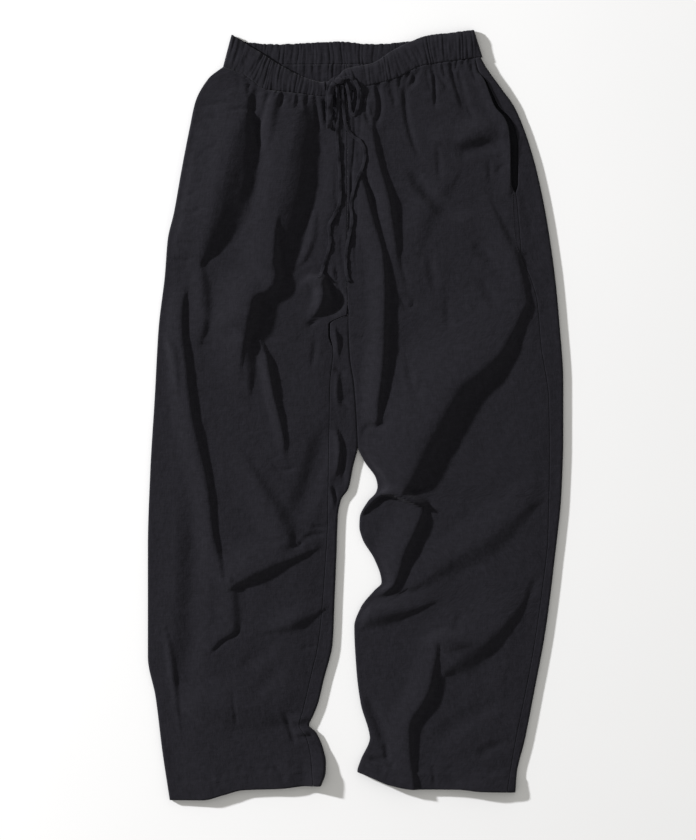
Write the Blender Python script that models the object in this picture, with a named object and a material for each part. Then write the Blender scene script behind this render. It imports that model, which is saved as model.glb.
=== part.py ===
"""Linen pull-on pants with a tied drawstring, laid face up on a flat surface.

Run with: blender --background --python part.py

The scene is in metres with +Z up. The pants lie on z = 0 with the waist towards +Y and the
wearer's left leg towards +X. All sizes below are millimetres, turned into metres by MM when a
mesh is made. Each leg is a flattened tube: a run of cloth that lies flat on the surface, a round
fold at each side edge, and a top run that carries the folds. The panels are the stretches of
that tube between the seams, each a wall of cloth with its own thickness.
"""
import math

import bmesh
import bpy
import numpy as np
from mathutils import Vector

MM = 0.001

# Cloth and seams
WALL = 1.5
CROTCH_WALL = 1.0
HEM_WALL = 2.3
HEM_DEPTH = 25.0
SEAM_GAP = 0.3
CROTCH_GAP = 2.0
BAND_WALL = 2.2
POCKET_WALL = 1.0
LAYER_GAP = 0.8

# The flattened tube
LIE_HEIGHT = 6.6
BAND_LIFT = 2.6
EDGE_BULGE = 3.5
EDGE_ARC = 10.0
LEG_GAP = 1.5

# Places along the length
HEM_Y = -485.0
CROTCH_Y = 130.0
CROTCH_DEPTH = 36.0
TOP_Y = 440.0

# Gathers of the waistband
FRONT_GATHERS = 45
BACK_GATHERS = 42
FRONT_GATHER_HEIGHT = 1.1
BACK_GATHER_HEIGHT = 0.7

# Drawstring
TIE_DIAMETER = 5.0
TIE_STEP = 11.0
TIE_CLEARANCE = 0.8

# Rows of each panel, as spans of the length: start, end, rows in the span
ROW_SPANS = (
    (HEM_Y, HEM_Y + HEM_DEPTH, 2),
    (HEM_Y + HEM_DEPTH + 2.0, 78.0, 22),
    (90.0, CROTCH_Y, 5),
    (139.0, CROTCH_Y + CROTCH_DEPTH, 4),
    (188.0, TOP_Y, 11),
)

# Edges of the pants seen from above: x at each height y, from the waist to the hem
RIGHT_OUTER = ((452, -172), (437, -191), (407, -208), (375, -215), (318, -226), (262, -236),
               (228, -244), (180, -248), (113, -256), (24, -261), (-76, -267), (-173, -270),
               (-314, -270), (-366, -260), (-438, -251), (-500, -241.5))
RIGHT_INNER = ((166, -10.7), (90, -8.3), (72, -7), (43, -2.4), (0, 1), (-43, 2.6), (-69, -2.8),
               (-95, -8.2), (-110, -18), (-130, -22), (-184, -24), (-236, -26.2), (-295, -28.8),
               (-345, -40.7), (-375, -48), (-392, -54.8), (-403, -59.6), (-412, -50.5),
               (-435, -40.7), (-451, -37.5), (-464, -38), (-482, -44))
RIGHT_INSEAM = ((130, -12), (118, -34), (104, -34), (84, -29), (41, -33), (-11, -34),
                (-97, -35.3), (-141, -36), (-206, -40), (-271, -45), (-303, -49.4), (-331, -56),
                (-383, -68), (-403, -73), (-418, -64), (-444, -58), (-485, -55))
LEFT_INNER = ((166, -10.7), (90, -8.3), (72, -7), (43, -2.4), (0, 1), (-43, 3.5), (-60, 10.6),
              (-83, 26), (-93, 27.8), (-100, 26), (-112, 15.3), (-133, 4.7), (-145, 4.2),
              (-161, 8.2), (-187, 23.6), (-211, 32.3), (-218, 33), (-227, 24.5), (-250, 6),
              (-275, -2.4), (-331, 0.4), (-375, 6), (-413, 17), (-419, 17.8), (-448, 6),
              (-463, 1.5), (-470, 1.5))
LEFT_OUTER = ((465, 162), (451, 170), (426, 188), (399, 207), (360, 223), (315, 236),
              (249, 249.3), (173, 260), (119, 265), (43, 270), (-27, 270), (-100, 267.7),
              (-187, 258.8), (-277, 247.4), (-366, 231), (-422, 220), (-466, 209.5),
              (-490, 207.8))
LEFT_SIDE = ((465, 155), (446, 160), (435, 167), (417, 174), (400, 181), (386, 193),
             (372, 198.5), (348, 201), (300, 202), (285, 208.5), (262, 211), (240, 213),
             (205, 216), (176, 228), (147, 236), (90, 241), (20, 251), (-50, 252),
             (-157, 250), (-227, 242.5), (-303, 231.5), (-366, 219.5), (-422, 208),
             (-490, 196.5))

# How far the left side pocket stands open: width at each height y
POCKET_MOUTH = ((446, 0), (430, 3), (405, 6), (388, 8.5), (369, 11), (348, 12.5), (300, 11),
                (288, 0))

# Cross edges seen from above: y at each x, from the wearer's right to the left
RIGHT_HEM = ((-241.5, -500), (-198, -500), (-172, -493.6), (-146, -487), (-96, -485),
             (-61, -481.5), (-44, -481.5))
LEFT_HEM = ((1.5, -463), (16.7, -469), (47, -481), (77, -486), (131, -486), (164, -489),
            (208, -490))
BAND_LOWER = ((-172, 452), (-148, 443), (-115, 422), (-81, 418), (-30, 413), (4, 424),
              (53, 437), (86, 453), (131, 460), (165, 465))
BAND_UPPER = ((-161, 494), (-126, 472), (-94, 452), (-60, 436), (-42, 432), (-28, 436),
              (-13, 449), (22, 457), (48, 473), (72, 485), (98, 493.4), (122, 496),
              (154, 500))
BACK_LOWER = ((-172, 452), (-140, 455), (0, 456), (110, 458), (140, 462), (156, 463.5),
              (165, 465))
BACK_UPPER = ((-161, 494), (-140, 484), (-100, 481.4), (-20, 485), (18, 481.6), (70, 485),
              (110, 490), (154, 500))

# Largest folds: height, width of the gentle side, width of the steep side, and the crest as
# points (x, y) that run so that the steep side is on the left hand
FOLDS = {
    "hip_outer": (11, 42, 26, ((-148, 400), (-158, 350), (-176, 290), (-190, 225), (-196, 160))),
    "hip_middle": (5, 20, 18, ((-107, 409), (-114, 375), (-110, 310))),
    "hip_inner": (13, 45, 24, ((-60, 400), (-68, 350), (-82, 290), (-93, 240), (-102, 180),
                               (-128, 140))),
    "thigh_middle": (5, 38, 12, ((-110, 96), (-104, 60), (-97, 20), (-91, -45))),
    "thigh_outer": (7, 20, 16, ((-222, 150), (-222, 100), (-213, 30), (-203, -40),
                                (-190, -110), (-176, -190))),
    "knee_inner": (4, 25, 9, ((-142, -61), (-122, -98), (-103, -135), (-84, -166))),
    "knee_cross": (7, 34, 14, ((-48, -170), (-96, -189), (-140, -210), (-172, -232))),
    "shin_cross": (3, 22, 14, ((-66, -262), (-100, -276), (-132, -290))),
    "shin_outer": (4, 40, 40, ((-195, -377), (-160, -380), (-120, -372))),
    "waist_valley": (5, 14, 12, ((26, 385), (31, 340), (45, 287), (55, 240), (60, 190))),
    "fly_fold": (8, 24, 12, ((10, 300), (24, 262), (37, 212), (40, 150), (38, 80), (31, 20),
                             (17, -18))),
    "pocket_fold": (3, 26, 12, ((168, 425), (182, 392), (194, 350), (196, 300))),
    "side_fold": (4, 20, 12, ((172, 290), (186, 246), (204, 206), (218, 150))),
    "thigh_great": (15, 62, 28, ((226, 142), (206, 106), (186, 76), (150, 44), (120, 6),
                                 (96, -34), (74, -74), (60, -100))),
    "knee_arc": (5, 18, 12, ((86, -112), (56, -103), (30, -106), (14, -122))),
    "knee_second": (9, 36, 20, ((90, -128), (78, -155), (62, -186), (50, -222), (36, -242))),
    "knee_outer": (6, 32, 18, ((240, -116), (204, -136), (157, -171), (112, -200), (80, -222))),
    "shin_upper": (5, 20, 12, ((108, -243), (77, -251), (49, -259), (18, -270))),
    "shin_lower": (9, 40, 16, ((222, -240), (204, -262), (172, -291), (138, -320),
                               (116, -345))),
    "shin_inner": (5, 26, 14, ((100, -300), (104, -330), (98, -362), (82, -395), (76, -450))),
    "hem_inner": (4, 15, 14, ((12, -368), (25, -390), (33, -416), (38, -440))),
}

# Drawstring routes seen from above, from the knot outwards
KNOT = (-21.0, 434.0)
KNOT_SIZE = (13.0, 10.0, 8.0)
TIE_ROUTES = {
    "tie_right_loop": ((-28.5, 437), (-35, 434), (-39, 424), (-39.5, 400), (-38, 378),
                       (-34, 370), (-30, 378), (-29.5, 400), (-30, 420), (-30, 430.5)),
    "tie_left_loop": ((-13.6, 438), (-6, 440), (2, 433), (6, 421), (5, 405), (2, 386),
                      (-2.5, 378), (-6, 386), (-7, 405), (-8.5, 421), (-11.5, 431)),
    "tie_right_end": ((-24, 427.5), (-22.5, 400), (-24, 361), (-21, 325), (-20, 280),
                      (-27, 260), (-34, 246), (-33, 224), (-40, 198), (-46, 179)),
    "tie_left_end": ((-17.5, 427.3), (-15, 400), (-13, 378), (-5, 363), (6, 355), (12, 342),
                     (10, 324), (0, 300), (-6, 273), (-4.6, 251), (-11, 218), (-12.4, 190),
                     (-8.5, 173)),
}

# Colour, roughness and metallic value of each material
LINEN = ((0.0185, 0.0178, 0.0225, 1.0), 0.9, 0.0)
POCKET_CLOTH = ((0.0080, 0.0078, 0.0100, 1.0), 0.9, 0.0)
CORD_CLOTH = ((0.0200, 0.0195, 0.0245, 1.0), 0.85, 0.0)


def smooth_step(value):
    """Rise softly from 0 to 1 as the value goes from 0 to 1."""
    t = np.clip(value, 0.0, 1.0)
    return t * t * (3.0 - 2.0 * t)


def along(table, at):
    """Read a smooth curve through the rows (position, value) of a table."""
    rows = sorted(table)
    xs = np.array([row[0] for row in rows], dtype=float)
    ys = np.array([row[1] for row in rows], dtype=float)
    slopes = np.diff(ys) / np.diff(xs)
    same_way = slopes[:-1] * slopes[1:] > 0.0
    inner = np.where(same_way, 2.0 * slopes[:-1] * slopes[1:] /
                     np.where(same_way, slopes[:-1] + slopes[1:], 1.0), 0.0)
    tangents = np.concatenate(([slopes[0]], inner, [slopes[-1]]))
    at = np.clip(np.asarray(at, dtype=float), xs[0], xs[-1])
    i = np.clip(np.searchsorted(xs, at) - 1, 0, len(xs) - 2)
    width = xs[i + 1] - xs[i]
    t = (at - xs[i]) / width
    return ((1 + 2 * t) * (1 - t) ** 2 * ys[i] + t * (1 - t) ** 2 * width * tangents[i]
            + t * t * (3 - 2 * t) * ys[i + 1] + t * t * (t - 1) * width * tangents[i + 1])


def spline(points, step):
    """Points every step along a smooth curve through the given points."""
    pts = np.array(points, dtype=float)
    padded = np.vstack((2 * pts[0] - pts[1], pts, 2 * pts[-1] - pts[-2]))
    fine = []
    for a, b, c, d in zip(padded, padded[1:], padded[2:], padded[3:]):
        for t in np.linspace(0.0, 1.0, 12, endpoint=False):
            fine.append(0.5 * (2 * b + (c - a) * t + (2 * a - 5 * b + 4 * c - d) * t * t
                               + (3 * b - a - 3 * c + d) * t ** 3))
    fine.append(pts[-1])
    fine = np.array(fine)
    reach = np.concatenate(([0.0], np.cumsum(np.linalg.norm(np.diff(fine, axis=0), axis=1))))
    places = np.linspace(0.0, reach[-1], max(2, round(reach[-1] / step) + 1))
    return np.column_stack([np.interp(places, reach, column) for column in fine.T])


def fold_height(x, y, fold):
    """Height that one fold adds at the points (x, y)."""
    height, gentle, steep, crest = fold
    line = spline(crest, 12.0)
    best = np.full(x.shape, 1e9)
    side = np.zeros(x.shape)
    place = np.zeros(x.shape)
    for k, (a, b) in enumerate(zip(line, line[1:])):
        run = b - a
        t = np.clip(((x - a[0]) * run[0] + (y - a[1]) * run[1]) / run.dot(run), 0.0, 1.0)
        off_x = x - a[0] - t * run[0]
        off_y = y - a[1] - t * run[1]
        distance = np.hypot(off_x, off_y)
        nearer = distance < best
        best = np.where(nearer, distance, best)
        side = np.where(nearer, run[0] * off_y - run[1] * off_x, side)
        place = np.where(nearer, (k + t) / (len(line) - 1), place)
    width = np.where(side > 0.0, steep, gentle)
    fade = smooth_step(place / 0.22) * smooth_step((1.0 - place) / 0.22)
    return height * (0.25 + 0.75 * fade) * np.clip(1.0 - (best / width) ** 2, 0.0, 1.0) ** 2


def lie_height(x, y):
    """Height of the cloth's top surface without its folds."""
    return LIE_HEIGHT + BAND_LIFT * smooth_step((y - 385.0) / 50.0)


def top_height(x, y):
    """Height of the cloth's top surface with its folds, level at the side edges."""
    x = np.asarray(x, dtype=float)
    y = np.asarray(y, dtype=float)
    folds = sum(fold_height(x, y, fold) for fold in FOLDS.values())
    return lie_height(x, y) + folds * smooth_step((TOP_Y + 10.0 - y) / 60.0)


def inner_edge(table, y):
    """The centre seam above the crotch, and the leg's inner edge below it."""
    edge = along(table, y)
    sign = -1.0 if table is RIGHT_INNER else 1.0
    parted = smooth_step((CROTCH_Y - y) / 20.0)
    return edge + sign * 0.5 * (SEAM_GAP + (LEG_GAP - SEAM_GAP) * parted)


class Leg:
    """One leg and its half of the hips, as a flattened tube."""

    def __init__(self, wearer_right):
        self.wearer_right = wearer_right
        self.hem = RIGHT_HEM if wearer_right else LEFT_HEM

    def edges(self, y):
        """The left and right edge seen from above, at the true height y."""
        if self.wearer_right:
            return along(RIGHT_OUTER, y), inner_edge(RIGHT_INNER, y)
        return inner_edge(LEFT_INNER, y), along(LEFT_OUTER, y)

    def warp(self, x, row_y, top_line):
        """True y of the points x of a row, which bends to the hem and to the waist seam."""
        to_top = smooth_step((row_y - 350.0) / (TOP_Y - 350.0))
        to_hem = smooth_step((-385.0 - row_y) / (-385.0 - HEM_Y))
        return (row_y + to_top * (along(top_line, x) - TOP_Y)
                + to_hem * (along(self.hem, x) - HEM_Y))

    def ring(self, row_y, places, top_line):
        """Points at the given places round the tube, measured from the bottom left corner."""
        left, right = self.edges(row_y)
        for _ in range(3):
            left = self.edges(self.warp(left, row_y, top_line))[0]
            right = self.edges(self.warp(right, row_y, top_line))[1]
        inner_bulge = EDGE_BULGE * float(smooth_step((CROTCH_Y - row_y) / CROTCH_DEPTH))
        left_bulge = EDGE_BULGE if self.wearer_right else inner_bulge
        right_bulge = inner_bulge if self.wearer_right else EDGE_BULGE
        start = left + left_bulge
        end = right - right_bulge
        width = end - start
        whole = 2 * EDGE_ARC + 2 * width
        s = np.mod(places, whole)
        on_left = s < EDGE_ARC
        on_top = (s >= EDGE_ARC) & (s < EDGE_ARC + width)
        on_right = (s >= EDGE_ARC + width) & (s < 2 * EDGE_ARC + width)
        left_turn = math.pi * s / EDGE_ARC
        right_turn = math.pi * (s - EDGE_ARC - width) / EDGE_ARC
        x = np.where(on_left, start - left_bulge * np.sin(left_turn),
                     np.where(on_top, start + s - EDGE_ARC,
                              np.where(on_right, end + right_bulge * np.sin(right_turn),
                                       end - (s - 2 * EDGE_ARC - width))))
        y = self.warp(x, row_y, top_line)
        crown = top_height(np.clip(x, start, end), y)
        share = np.where(on_left, 0.5 - 0.5 * np.cos(left_turn),
                         np.where(on_top, 1.0,
                                  np.where(on_right, 0.5 + 0.5 * np.cos(right_turn), 0.0)))
        return np.column_stack((x, y, crown * share))

    def facing(self, row_y, place, top_line):
        """The way the unfolded tube faces at a place round it."""
        width = self.width(row_y, top_line)
        s = place % (2 * EDGE_ARC + 2 * width)
        if s < EDGE_ARC:
            turn = math.pi * s / EDGE_ARC
            return (-math.sin(turn), 0.0, -math.cos(turn))
        if s < EDGE_ARC + width:
            return (0.0, 0.0, 1.0)
        if s < 2 * EDGE_ARC + width:
            turn = math.pi * (s - EDGE_ARC - width) / EDGE_ARC
            return (math.sin(turn), 0.0, math.cos(turn))
        return (0.0, 0.0, -1.0)

    def place_of_top(self, row_y, x, top_line):
        """Place round the tube of the point x on the top run."""
        left, right = self.edges(row_y)
        for _ in range(3):
            left = self.edges(self.warp(left, row_y, top_line))[0]
        inner_bulge = EDGE_BULGE * float(smooth_step((CROTCH_Y - row_y) / CROTCH_DEPTH))
        bulge = EDGE_BULGE if self.wearer_right else inner_bulge
        return EDGE_ARC + x - left - bulge

    def seam_place(self, row_y, seam, top_line):
        """Place round the tube of a seam on the top run, given as x at each true y."""
        x = seam(row_y)
        for _ in range(3):
            x = seam(self.warp(x, row_y, top_line))
        return self.place_of_top(row_y, x, top_line)

    def width(self, row_y, top_line):
        """Straight width of the tube's top and bottom runs."""
        left, right = self.edges(row_y)
        for _ in range(3):
            left = self.edges(self.warp(left, row_y, top_line))[0]
            right = self.edges(self.warp(right, row_y, top_line))[1]
        inner_bulge = EDGE_BULGE * float(smooth_step((CROTCH_Y - row_y) / CROTCH_DEPTH))
        return right - left - EDGE_BULGE - inner_bulge


def row_heights():
    """The nominal y of every row of the panels, from the hem to the waist."""
    return np.concatenate([np.linspace(first, last, count) for first, last, count in ROW_SPANS])


def spread(stops, cells):
    """Places that divide each stretch between two stops into its number of cells."""
    parts = [np.linspace(a, b, n, endpoint=False) for a, b, n in zip(stops, stops[1:], cells)]
    return np.concatenate(parts + [[stops[-1]]])


def climb(row_y):
    """1 at the crotch point, 0 where the back's centre seam lies on the surface again."""
    return float(np.clip(1.0 - (row_y - CROTCH_Y) / CROTCH_DEPTH, 0.0, 1.0))


def crotch_ease(row_y):
    """How far the front's seam edge keeps clear of the back's wall at the crotch point."""
    return (WALL + 0.7) * (1.0 - float(smooth_step((row_y - CROTCH_Y - 1.0) / 11.0)))


def right_inseam(y):
    return along(RIGHT_INSEAM, y)


def left_side_front(y):
    return along(LEFT_SIDE, y)


def left_side_back(y):
    return along(LEFT_SIDE, y) + along(POCKET_MOUTH, y)


def half_gap(row_y):
    """Half the gap between front and back, wider round the crotch point."""
    near = 1.0 - abs(row_y - CROTCH_Y) / (CROTCH_DEPTH + 10.0)
    return 0.5 * (SEAM_GAP + (CROTCH_GAP - SEAM_GAP) * float(smooth_step(3.0 * near)))


def right_seam(leg, row_y, top_line):
    """Place of the wearer's right inseam, or of the centre front seam above the crotch."""
    corner = EDGE_ARC + leg.width(row_y, top_line)
    if row_y >= CROTCH_Y:
        return corner
    return min(corner, leg.seam_place(row_y, right_inseam, top_line))


def left_seam(row_y):
    """Place of the wearer's left inseam, which turns under the inner edge."""
    turned = float(np.clip((CROTCH_Y - row_y) / CROTCH_DEPTH, 0.0, 1.0))
    return EDGE_ARC - turned * (EDGE_ARC + 12.0)


def right_front_row(leg, row_y):
    end = right_seam(leg, row_y, BAND_LOWER)
    if row_y >= CROTCH_Y:
        end -= crotch_ease(row_y)
    else:
        end -= half_gap(row_y)
    return spread((EDGE_ARC / 2 + SEAM_GAP / 2, EDGE_ARC, end), (3, 14))


def right_back_row(leg, row_y):
    width = leg.width(row_y, BACK_LOWER)
    corner = 2 * EDGE_ARC + width
    if row_y >= CROTCH_Y:
        start = corner - EDGE_ARC * climb(row_y)
    else:
        start = right_seam(leg, row_y, BACK_LOWER)
    start += half_gap(row_y)
    on_top = max(EDGE_ARC + width, start + 5.0)
    on_floor = max(corner, on_top + 7.5)
    far = 2 * EDGE_ARC + 2 * width
    return spread((start, on_top, on_floor, far, far + EDGE_ARC / 2 - SEAM_GAP / 2),
                  (2, 3, 4, 3))


def left_front_row(leg, row_y):
    start = left_seam(row_y)
    if row_y >= CROTCH_Y:
        start += crotch_ease(row_y)
    else:
        start += half_gap(row_y)
    side = leg.seam_place(row_y, left_side_front, BAND_LOWER) - SEAM_GAP / 2
    on_edge = max(0.0, start + 2.5)
    on_top = max(EDGE_ARC, on_edge + 7.5)
    return spread((start, on_edge, on_top, side), (1, 3, 13))


def left_back_row(leg, row_y):
    width = leg.width(row_y, BACK_LOWER)
    start = leg.seam_place(row_y, left_side_back, BACK_LOWER) + SEAM_GAP / 2
    whole = 2 * EDGE_ARC + 2 * width
    if row_y >= CROTCH_Y:
        end = whole + EDGE_ARC * climb(row_y)
    else:
        end = whole + left_seam(row_y)
    end -= half_gap(row_y)
    last = min(whole, end - 7.5)
    return spread((start, EDGE_ARC + width, 2 * EDGE_ARC + width, last, end), (2, 3, 4, 3))


def make_material(name, colour, roughness, metallic):
    material = bpy.data.materials.new(name)
    material.use_nodes = True
    shader = material.node_tree.nodes["Principled BSDF"]
    shader.inputs["Base Color"].default_value = colour
    shader.inputs["Roughness"].default_value = roughness
    shader.inputs["Metallic"].default_value = metallic
    return material


def normals_of(points):
    """Unit normals of a grid of points, rows along the length and columns across."""
    across = np.gradient(points, axis=1, edge_order=2)
    lengthwise = np.gradient(points, axis=0, edge_order=2)
    normals = np.cross(across, lengthwise)
    return normals / np.linalg.norm(normals, axis=2, keepdims=True)


def eased(normals):
    """Normals averaged with those beside them, so that no wall crosses itself in a tight turn."""
    for _ in range(2):
        beside = np.pad(normals, ((0, 0), (1, 1), (0, 0)), mode="edge")
        normals = beside[:, :-2] + 2.0 * normals + beside[:, 2:]
        normals /= np.linalg.norm(normals, axis=2, keepdims=True)
    return normals


def cloth_piece(name, points, wall, look, collection, rims=None):
    """A wall of cloth whose outer face holds the grid of points and whose inner face lies
    the wall's thickness behind it. The rims say which way its two long edges face."""
    rows, columns = points.shape[:2]
    normals = normals_of(points)
    if rims is not None:
        normals = eased(normals)
        normals[:, 0], normals[:, -1] = rims
    inner = points - normals * np.broadcast_to(wall, (rows, columns))[..., None]
    inner[..., 2] = np.maximum(inner[..., 2], 0.0)
    mesh = bmesh.new()
    bmesh.ops.create_grid(mesh, x_segments=columns - 1, y_segments=rows - 1, size=1.0)
    sheet = sorted(mesh.verts, key=lambda v: (round(v.co.y, 5), round(v.co.x, 5)))
    order = {vertex: number for number, vertex in enumerate(sheet)}
    grown = bmesh.ops.extrude_face_region(mesh, geom=list(mesh.faces), use_keep_orig=True)
    copies = [item for item in grown["geom"] if isinstance(item, bmesh.types.BMVert)]
    behind = {}
    for vertex in copies:
        key = (round(vertex.co.y, 5), round(vertex.co.x, 5))
        behind[key] = vertex
    for vertex, number in order.items():
        key = (round(vertex.co.y, 5), round(vertex.co.x, 5))
        behind[key].co = inner[number // columns, number % columns] * MM
    for vertex, number in order.items():
        vertex.co = points[number // columns, number % columns] * MM
    bmesh.ops.recalc_face_normals(mesh, faces=list(mesh.faces))
    return finish_piece(name, mesh, look, collection)


def finish_piece(name, mesh, look, collection):
    data = bpy.data.meshes.new(name)
    mesh.to_mesh(data)
    mesh.free()
    data.shade_smooth()
    data.set_sharp_from_angle(angle=math.radians(50))
    data.materials.append(make_material(name, *look))
    piece = bpy.data.objects.new(name, data)
    collection.objects.link(piece)
    return piece


def add_panels(collection):
    """The four leg panels, cut from the tubes of the two legs."""
    heights = row_heights()
    wall = np.where(heights <= HEM_Y + HEM_DEPTH + 0.01, HEM_WALL, WALL)
    wall = np.where(abs(heights - CROTCH_Y) < CROTCH_DEPTH, CROTCH_WALL, wall)[:, None]
    top_rows = {}
    makers = (
        ("right_front", True, right_front_row, BAND_LOWER),
        ("right_back", True, right_back_row, BACK_LOWER),
        ("left_front", False, left_front_row, BAND_LOWER),
        ("left_back", False, left_back_row, BACK_LOWER),
    )
    for name, wearer_right, row_places, top_line in makers:
        leg = Leg(wearer_right)
        places = [row_places(leg, y) for y in heights]
        points = np.array([leg.ring(y, row, top_line) for y, row in zip(heights, places)])
        rims = [np.array([leg.facing(y, row[end], top_line) for y, row in zip(heights, places)])
                for end in (0, -1)]
        cloth_piece(name, points, wall, LINEN, collection, rims)
        top_rows[name] = points[-1]
    return top_rows


def seam_line(*top_rows):
    """The line along the top of panels, read as y at each x."""
    points = np.vstack(top_rows)
    points = points[np.argsort(points[:, 0])]
    return lambda x: np.interp(x, points[:, 0], points[:, 1]) + 1.5 * SEAM_GAP


def add_front_band(collection, seam):
    """The front of the waistband: a gathered strip over the flattened waist."""
    cells = 2 * FRONT_GATHERS
    rows = []
    for share in (0.0, 0.5, 1.0):
        left, right = -172.0 + 11.0 * share, 165.0 - 11.0 * share
        start, end = left + EDGE_BULGE, right - EDGE_BULGE
        lead = np.linspace(0.5, 1.0, 3, endpoint=False) * math.pi
        x = np.concatenate((start - EDGE_BULGE * np.sin(lead),
                            np.linspace(start, end, cells + 1),
                            end + EDGE_BULGE * np.sin(lead[::-1])))
        rise = np.concatenate((0.5 - 0.5 * np.cos(lead), np.ones(cells + 1),
                               0.5 - 0.5 * np.cos(lead[::-1])))
        gather = np.zeros(len(x))
        gather[4:-4] = FRONT_GATHER_HEIGHT * np.cos(math.pi * np.arange(cells - 1))
        lower = seam(x)
        y = lower + share * (along(BAND_UPPER, x) - lower)
        z = (lie_height(x, y) + gather) * rise
        z[0] += SEAM_GAP / 2
        z[-1] += SEAM_GAP / 2
        rows.append(np.column_stack((x, y, z)))
    cloth_piece("waistband_front", np.array(rows), BAND_WALL, LINEN, collection)


def add_back_band(collection, seam):
    """The back of the waistband: flat below, gathered on the side that faces the waist."""
    cells = 2 * BACK_GATHERS
    rows = []
    for share in (0.0, 0.5, 1.0):
        left, right = -172.0 + 11.0 * share, 165.0 - 11.0 * share
        start, end = left + EDGE_BULGE, right - EDGE_BULGE
        lead = np.linspace(0.5, 0.0, 3, endpoint=False) * math.pi
        x = np.concatenate((end + EDGE_BULGE * np.sin(lead), np.linspace(end, start, cells + 1),
                            start - EDGE_BULGE * np.sin(lead[::-1])))
        rise = np.concatenate((0.5 - 0.5 * np.cos(lead), np.zeros(cells + 1),
                               0.5 - 0.5 * np.cos(lead[::-1])))
        lower = seam(x)
        y = lower + share * (along(BACK_UPPER, x) - lower)
        z = lie_height(x, y) * rise
        z[0] -= SEAM_GAP / 2
        z[-1] -= SEAM_GAP / 2
        rows.append(np.column_stack((x, y, z)))
    wall = np.full(cells + 7, BAND_WALL)
    wall[4:-4] += BACK_GATHER_HEIGHT * np.cos(math.pi * np.arange(cells - 1))
    cloth_piece("waistband_back", np.array(rows), wall[None, :], LINEN, collection)


def add_pocket_bag(collection):
    """The dark pocket cloth that shows through the open side pocket."""
    heights = np.linspace(290.0, 432.0, 8)
    rows = []
    for y in heights:
        near = left_side_front(y) - 8.0
        far = left_side_back(y) + 5.0
        x = np.linspace(near, far, 4)
        level = np.full(4, lie_height(near, y) - WALL - LAYER_GAP)
        rows.append(np.column_stack((x, np.full(4, y), level)))
    cloth_piece("left_pocket_bag", np.array(rows), POCKET_WALL, POCKET_CLOTH, collection)


def tie_height(points):
    """Height of the drawstring's centre line, lying over the folds and gathers."""
    reach = TIE_DIAMETER / 2
    highest = [top_height(points[:, 0] + dx, points[:, 1] + dy)
               for dx in (-reach, 0.0, reach) for dy in (-reach, 0.0, reach)]
    over_band = smooth_step((points[:, 1] - 395.0) / 15.0) * FRONT_GATHER_HEIGHT
    return np.max(highest, axis=0) + over_band + TIE_CLEARANCE + reach


def add_ties(collection):
    """The knot, the two loops and the two free ends of the drawstring."""
    for name, route in TIE_ROUTES.items():
        points = spline(route, TIE_STEP)
        heights = tie_height(points)
        curve = bpy.data.curves.new(name, "CURVE")
        curve.dimensions = "3D"
        curve.bevel_depth = TIE_DIAMETER / 2 * MM
        curve.bevel_resolution = 2
        curve.use_fill_caps = True
        line = curve.splines.new("POLY")
        line.points.add(len(points) - 1)
        for point, (x, y), z in zip(line.points, points, heights):
            point.co = (x * MM, y * MM, z * MM, 1.0)
        curve.materials.append(make_material(name, *CORD_CLOTH))
        collection.objects.link(bpy.data.objects.new(name, curve))
    centre = np.array([KNOT])
    mesh = bmesh.new()
    bmesh.ops.create_uvsphere(mesh, u_segments=14, v_segments=8, radius=0.5 * MM)
    bmesh.ops.scale(mesh, vec=Vector(KNOT_SIZE), verts=mesh.verts)
    lift = tie_height(centre)[0] + KNOT_SIZE[2] / 2 - TIE_DIAMETER / 2
    bmesh.ops.translate(mesh, vec=Vector((KNOT[0], KNOT[1], lift)) * MM, verts=mesh.verts)
    finish_piece("tie_knot", mesh, CORD_CLOTH, collection)


def main():
    for item in list(bpy.data.objects):
        bpy.data.objects.remove(item)
    collection = bpy.data.collections.new("linen_pants")
    bpy.context.scene.collection.children.link(collection)
    tops = add_panels(collection)
    half_height = (LIE_HEIGHT + BAND_LIFT) / 2
    upper = [row[row[:, 2] > half_height] for row in tops.values()]
    lower = [row[row[:, 2] < half_height] for row in tops.values()]
    add_front_band(collection, seam_line(*upper))
    add_back_band(collection, seam_line(*lower))
    add_pocket_bag(collection)
    add_ties(collection)


main()
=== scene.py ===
import math

import bmesh
import bpy
import numpy as np
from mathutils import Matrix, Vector


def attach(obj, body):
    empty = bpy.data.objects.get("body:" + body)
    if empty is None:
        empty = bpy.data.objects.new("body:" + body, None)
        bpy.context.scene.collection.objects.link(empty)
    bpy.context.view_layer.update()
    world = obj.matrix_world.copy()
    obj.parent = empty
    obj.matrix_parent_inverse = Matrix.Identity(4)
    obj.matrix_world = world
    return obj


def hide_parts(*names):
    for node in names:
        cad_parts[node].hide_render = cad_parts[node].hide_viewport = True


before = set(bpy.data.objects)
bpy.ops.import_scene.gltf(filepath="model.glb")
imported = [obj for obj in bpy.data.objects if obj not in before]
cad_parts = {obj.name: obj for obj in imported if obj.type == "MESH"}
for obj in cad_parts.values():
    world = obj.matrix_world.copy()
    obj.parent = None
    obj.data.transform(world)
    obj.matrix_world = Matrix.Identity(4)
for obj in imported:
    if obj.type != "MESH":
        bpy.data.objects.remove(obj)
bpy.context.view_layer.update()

# Every size and place in the tables is in millimetres, as seen from above on the flat pants.
MM = 0.001

# The photograph's frame, straight down
VIEW_CENTRE = (-9.75, -6.5)
VIEW_HEIGHT = 1092.0
CAMERA_DISTANCE = 4.0
SENSOR_HEIGHT = 24.0

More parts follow.
